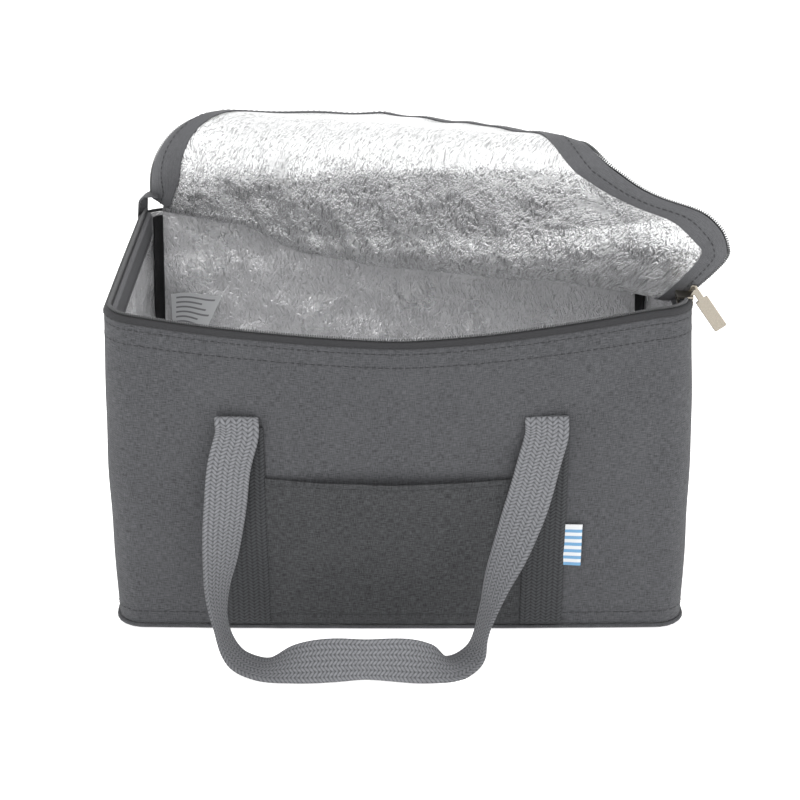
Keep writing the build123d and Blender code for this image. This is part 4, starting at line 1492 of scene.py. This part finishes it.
# The handle's route: middle and the direction over its width, from its left fold to its right one.
HANDLE_ROUTE = (
    ((-0.0980, -0.1310, 0.1150), (1.0, 0.0, 0.0)),
    ((-0.1010, -0.1325, 0.0880), (0.97, 0.26, 0.0)),
    ((-0.1040, -0.1350, 0.0620), (0.79, 0.61, 0.0)),
    ((-0.1060, -0.1380, 0.0380), (0.45, 0.89, 0.0)),
    ((-0.1040, -0.1430, 0.0170), (0.15, 0.99, 0.0)),
    ((-0.0950, -0.1530, 0.0045), (0.08, 1.0, 0.0)),
    ((-0.0800, -0.1620, 0.0020), (0.2, 0.98, 0.03)),
    ((-0.0600, -0.1680, 0.0086), (0.1, 0.8, 0.6)),
    ((-0.0400, -0.1705, 0.0120), (0.0, 0.45, 0.89)),
    ((-0.0200, -0.1715, 0.0132), (0.0, 0.1, 0.99)),
    ((0.0, -0.1710, 0.0124), (0.0, 0.35, 0.93)),
    ((0.0180, -0.1675, 0.0086), (-0.1, 0.8, 0.6)),
    ((0.0330, -0.1590, 0.0022), (-0.3, 0.95, 0.03)),
    ((0.0440, -0.1480, 0.0065), (-0.2, 0.98, 0.0)),
    ((0.0500, -0.1395, 0.0240), (-0.25, 0.97, 0.0)),
    ((0.0570, -0.1360, 0.0460), (-0.5, 0.87, 0.0)),
    ((0.0660, -0.1335, 0.0700), (-0.82, 0.57, 0.0)),
    ((0.0740, -0.1315, 0.0950), (-0.98, 0.17, 0.0)),
    ((0.0795, -0.1310, 0.1180), (-1.0, 0.0, 0.0)),
)


class BAG_OT_handles(BagOperator, bpy.types.Operator):
    """Makes the two webbing handles, folded over the tops of their straps"""

    bl_idname = "bag.handles"
    bl_label = "Handles"

    def build(self, context, bag):
        s = bag.s
        for wall, joint, flip in (("front", "front_handle_swing", 1), ("back", "back_handle_swing", -1)):
            swing = next(j for j in frame["joints"] if j["name"] == joint)
            pivot = np.array(swing["pos_m"])
            shift = 0.0 if flip == 1 else pivot[1] + HANDLE_FOLD_Y
            route = np.array([p for p, _ in HANDLE_ROUTE])
            across = np.array([a for _, a in HANDLE_ROUTE])
            fold = [(0.0034, -0.0060), (0.0034, -0.0010), (0.0026, 0.0014), (0.0010, 0.0022)]
            fold += [(-0.0002, 0.0010), (-0.0006, -0.008)]
            tops = ((s.strap_left - 0.003, 1.0, 1), (s.strap_right - 0.0005, -1.0, -1))
            ends = []
            for x, side, order in tops:
                rows = [(x, HANDLE_FOLD_Y + dy, pivot[2] + dz) for dy, dz in fold]
                ends.append((rows[::order], [(side, 0.0, 0.0)] * len(rows)))
            route = np.concatenate([ends[0][0], route, ends[1][0]])
            across = np.concatenate([ends[0][1], across, ends[1][1]])
            if flip == -1:
                route[:, 1] = shift - route[:, 1]
                across[:, 1] *= -1
            webbing = finish_of(context, "handle_webbing")
            handle = webbing_band(
                f"{wall}_handle", route, across, s.webbing, s.webbing_thick, webbing, 330, 0.0004
            )
            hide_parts(f"{wall}_handle")
            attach(handle, f"{wall}_handle")


class BAG_OT_slider(BagOperator, bpy.types.Operator):
    """Gives the zip's slider and pull their metal"""

    bl_idname = "bag.slider"
    bl_label = "Slider and pull"

    def build(self, context, bag):
        metal = finish_of(context, "cast_metal")
        for name in ("zip_slider", "zip_pull"):
            mesh = frame["nodes"][name].data
            mesh.materials.clear()
            mesh.materials.append(metal)


class BAG_PT_panel(bpy.types.Panel):
    """Lists the bag's sizes, colours and pieces"""

    bl_idname = "BAG_PT_panel"
    bl_label = "Cooler bag"
    bl_space_type = "VIEW_3D"
    bl_region_type = "UI"
    bl_category = "Cooler bag"

    def draw(self, context):
        for group in (context.scene.bag_sizes, context.scene.lid_sizes, context.scene.bag_colours):
            box = self.layout.box()
            for name in group.__annotations__:
                box.prop(group, name)
        for operator in STEPS:
            self.layout.operator(operator.bl_idname)


STEPS = (
    BAG_OT_stage,
    BAG_OT_walls,
    BAG_OT_lining,
    BAG_OT_seams,
    BAG_OT_body_zip,
    BAG_OT_pocket,
    BAG_OT_straps,
    BAG_OT_labels,
    BAG_OT_lid,
    BAG_OT_lid_edge,
    BAG_OT_hinge,
    BAG_OT_handles,
    BAG_OT_slider,
)
GROUPS = {"bag_sizes": BagSizes, "lid_sizes": LidSizes, "bag_colours": BagColours}


def register():
    for name, group in GROUPS.items():
        bpy.utils.register_class(group)
        setattr(bpy.types.Scene, name, PointerProperty(type=group))
    for item in (*STEPS, BAG_PT_panel):
        bpy.utils.register_class(item)


def unregister():
    for item in (BAG_PT_panel, *reversed(STEPS)):
        bpy.utils.unregister_class(item)
    for name, group in GROUPS.items():
        delattr(bpy.types.Scene, name)
        bpy.utils.unregister_class(group)


def main():
    register()
    for step in STEPS:
        area, name = step.bl_idname.split(".")
        getattr(getattr(bpy.ops, area), name)()


if __name__ == "__main__":
    main()
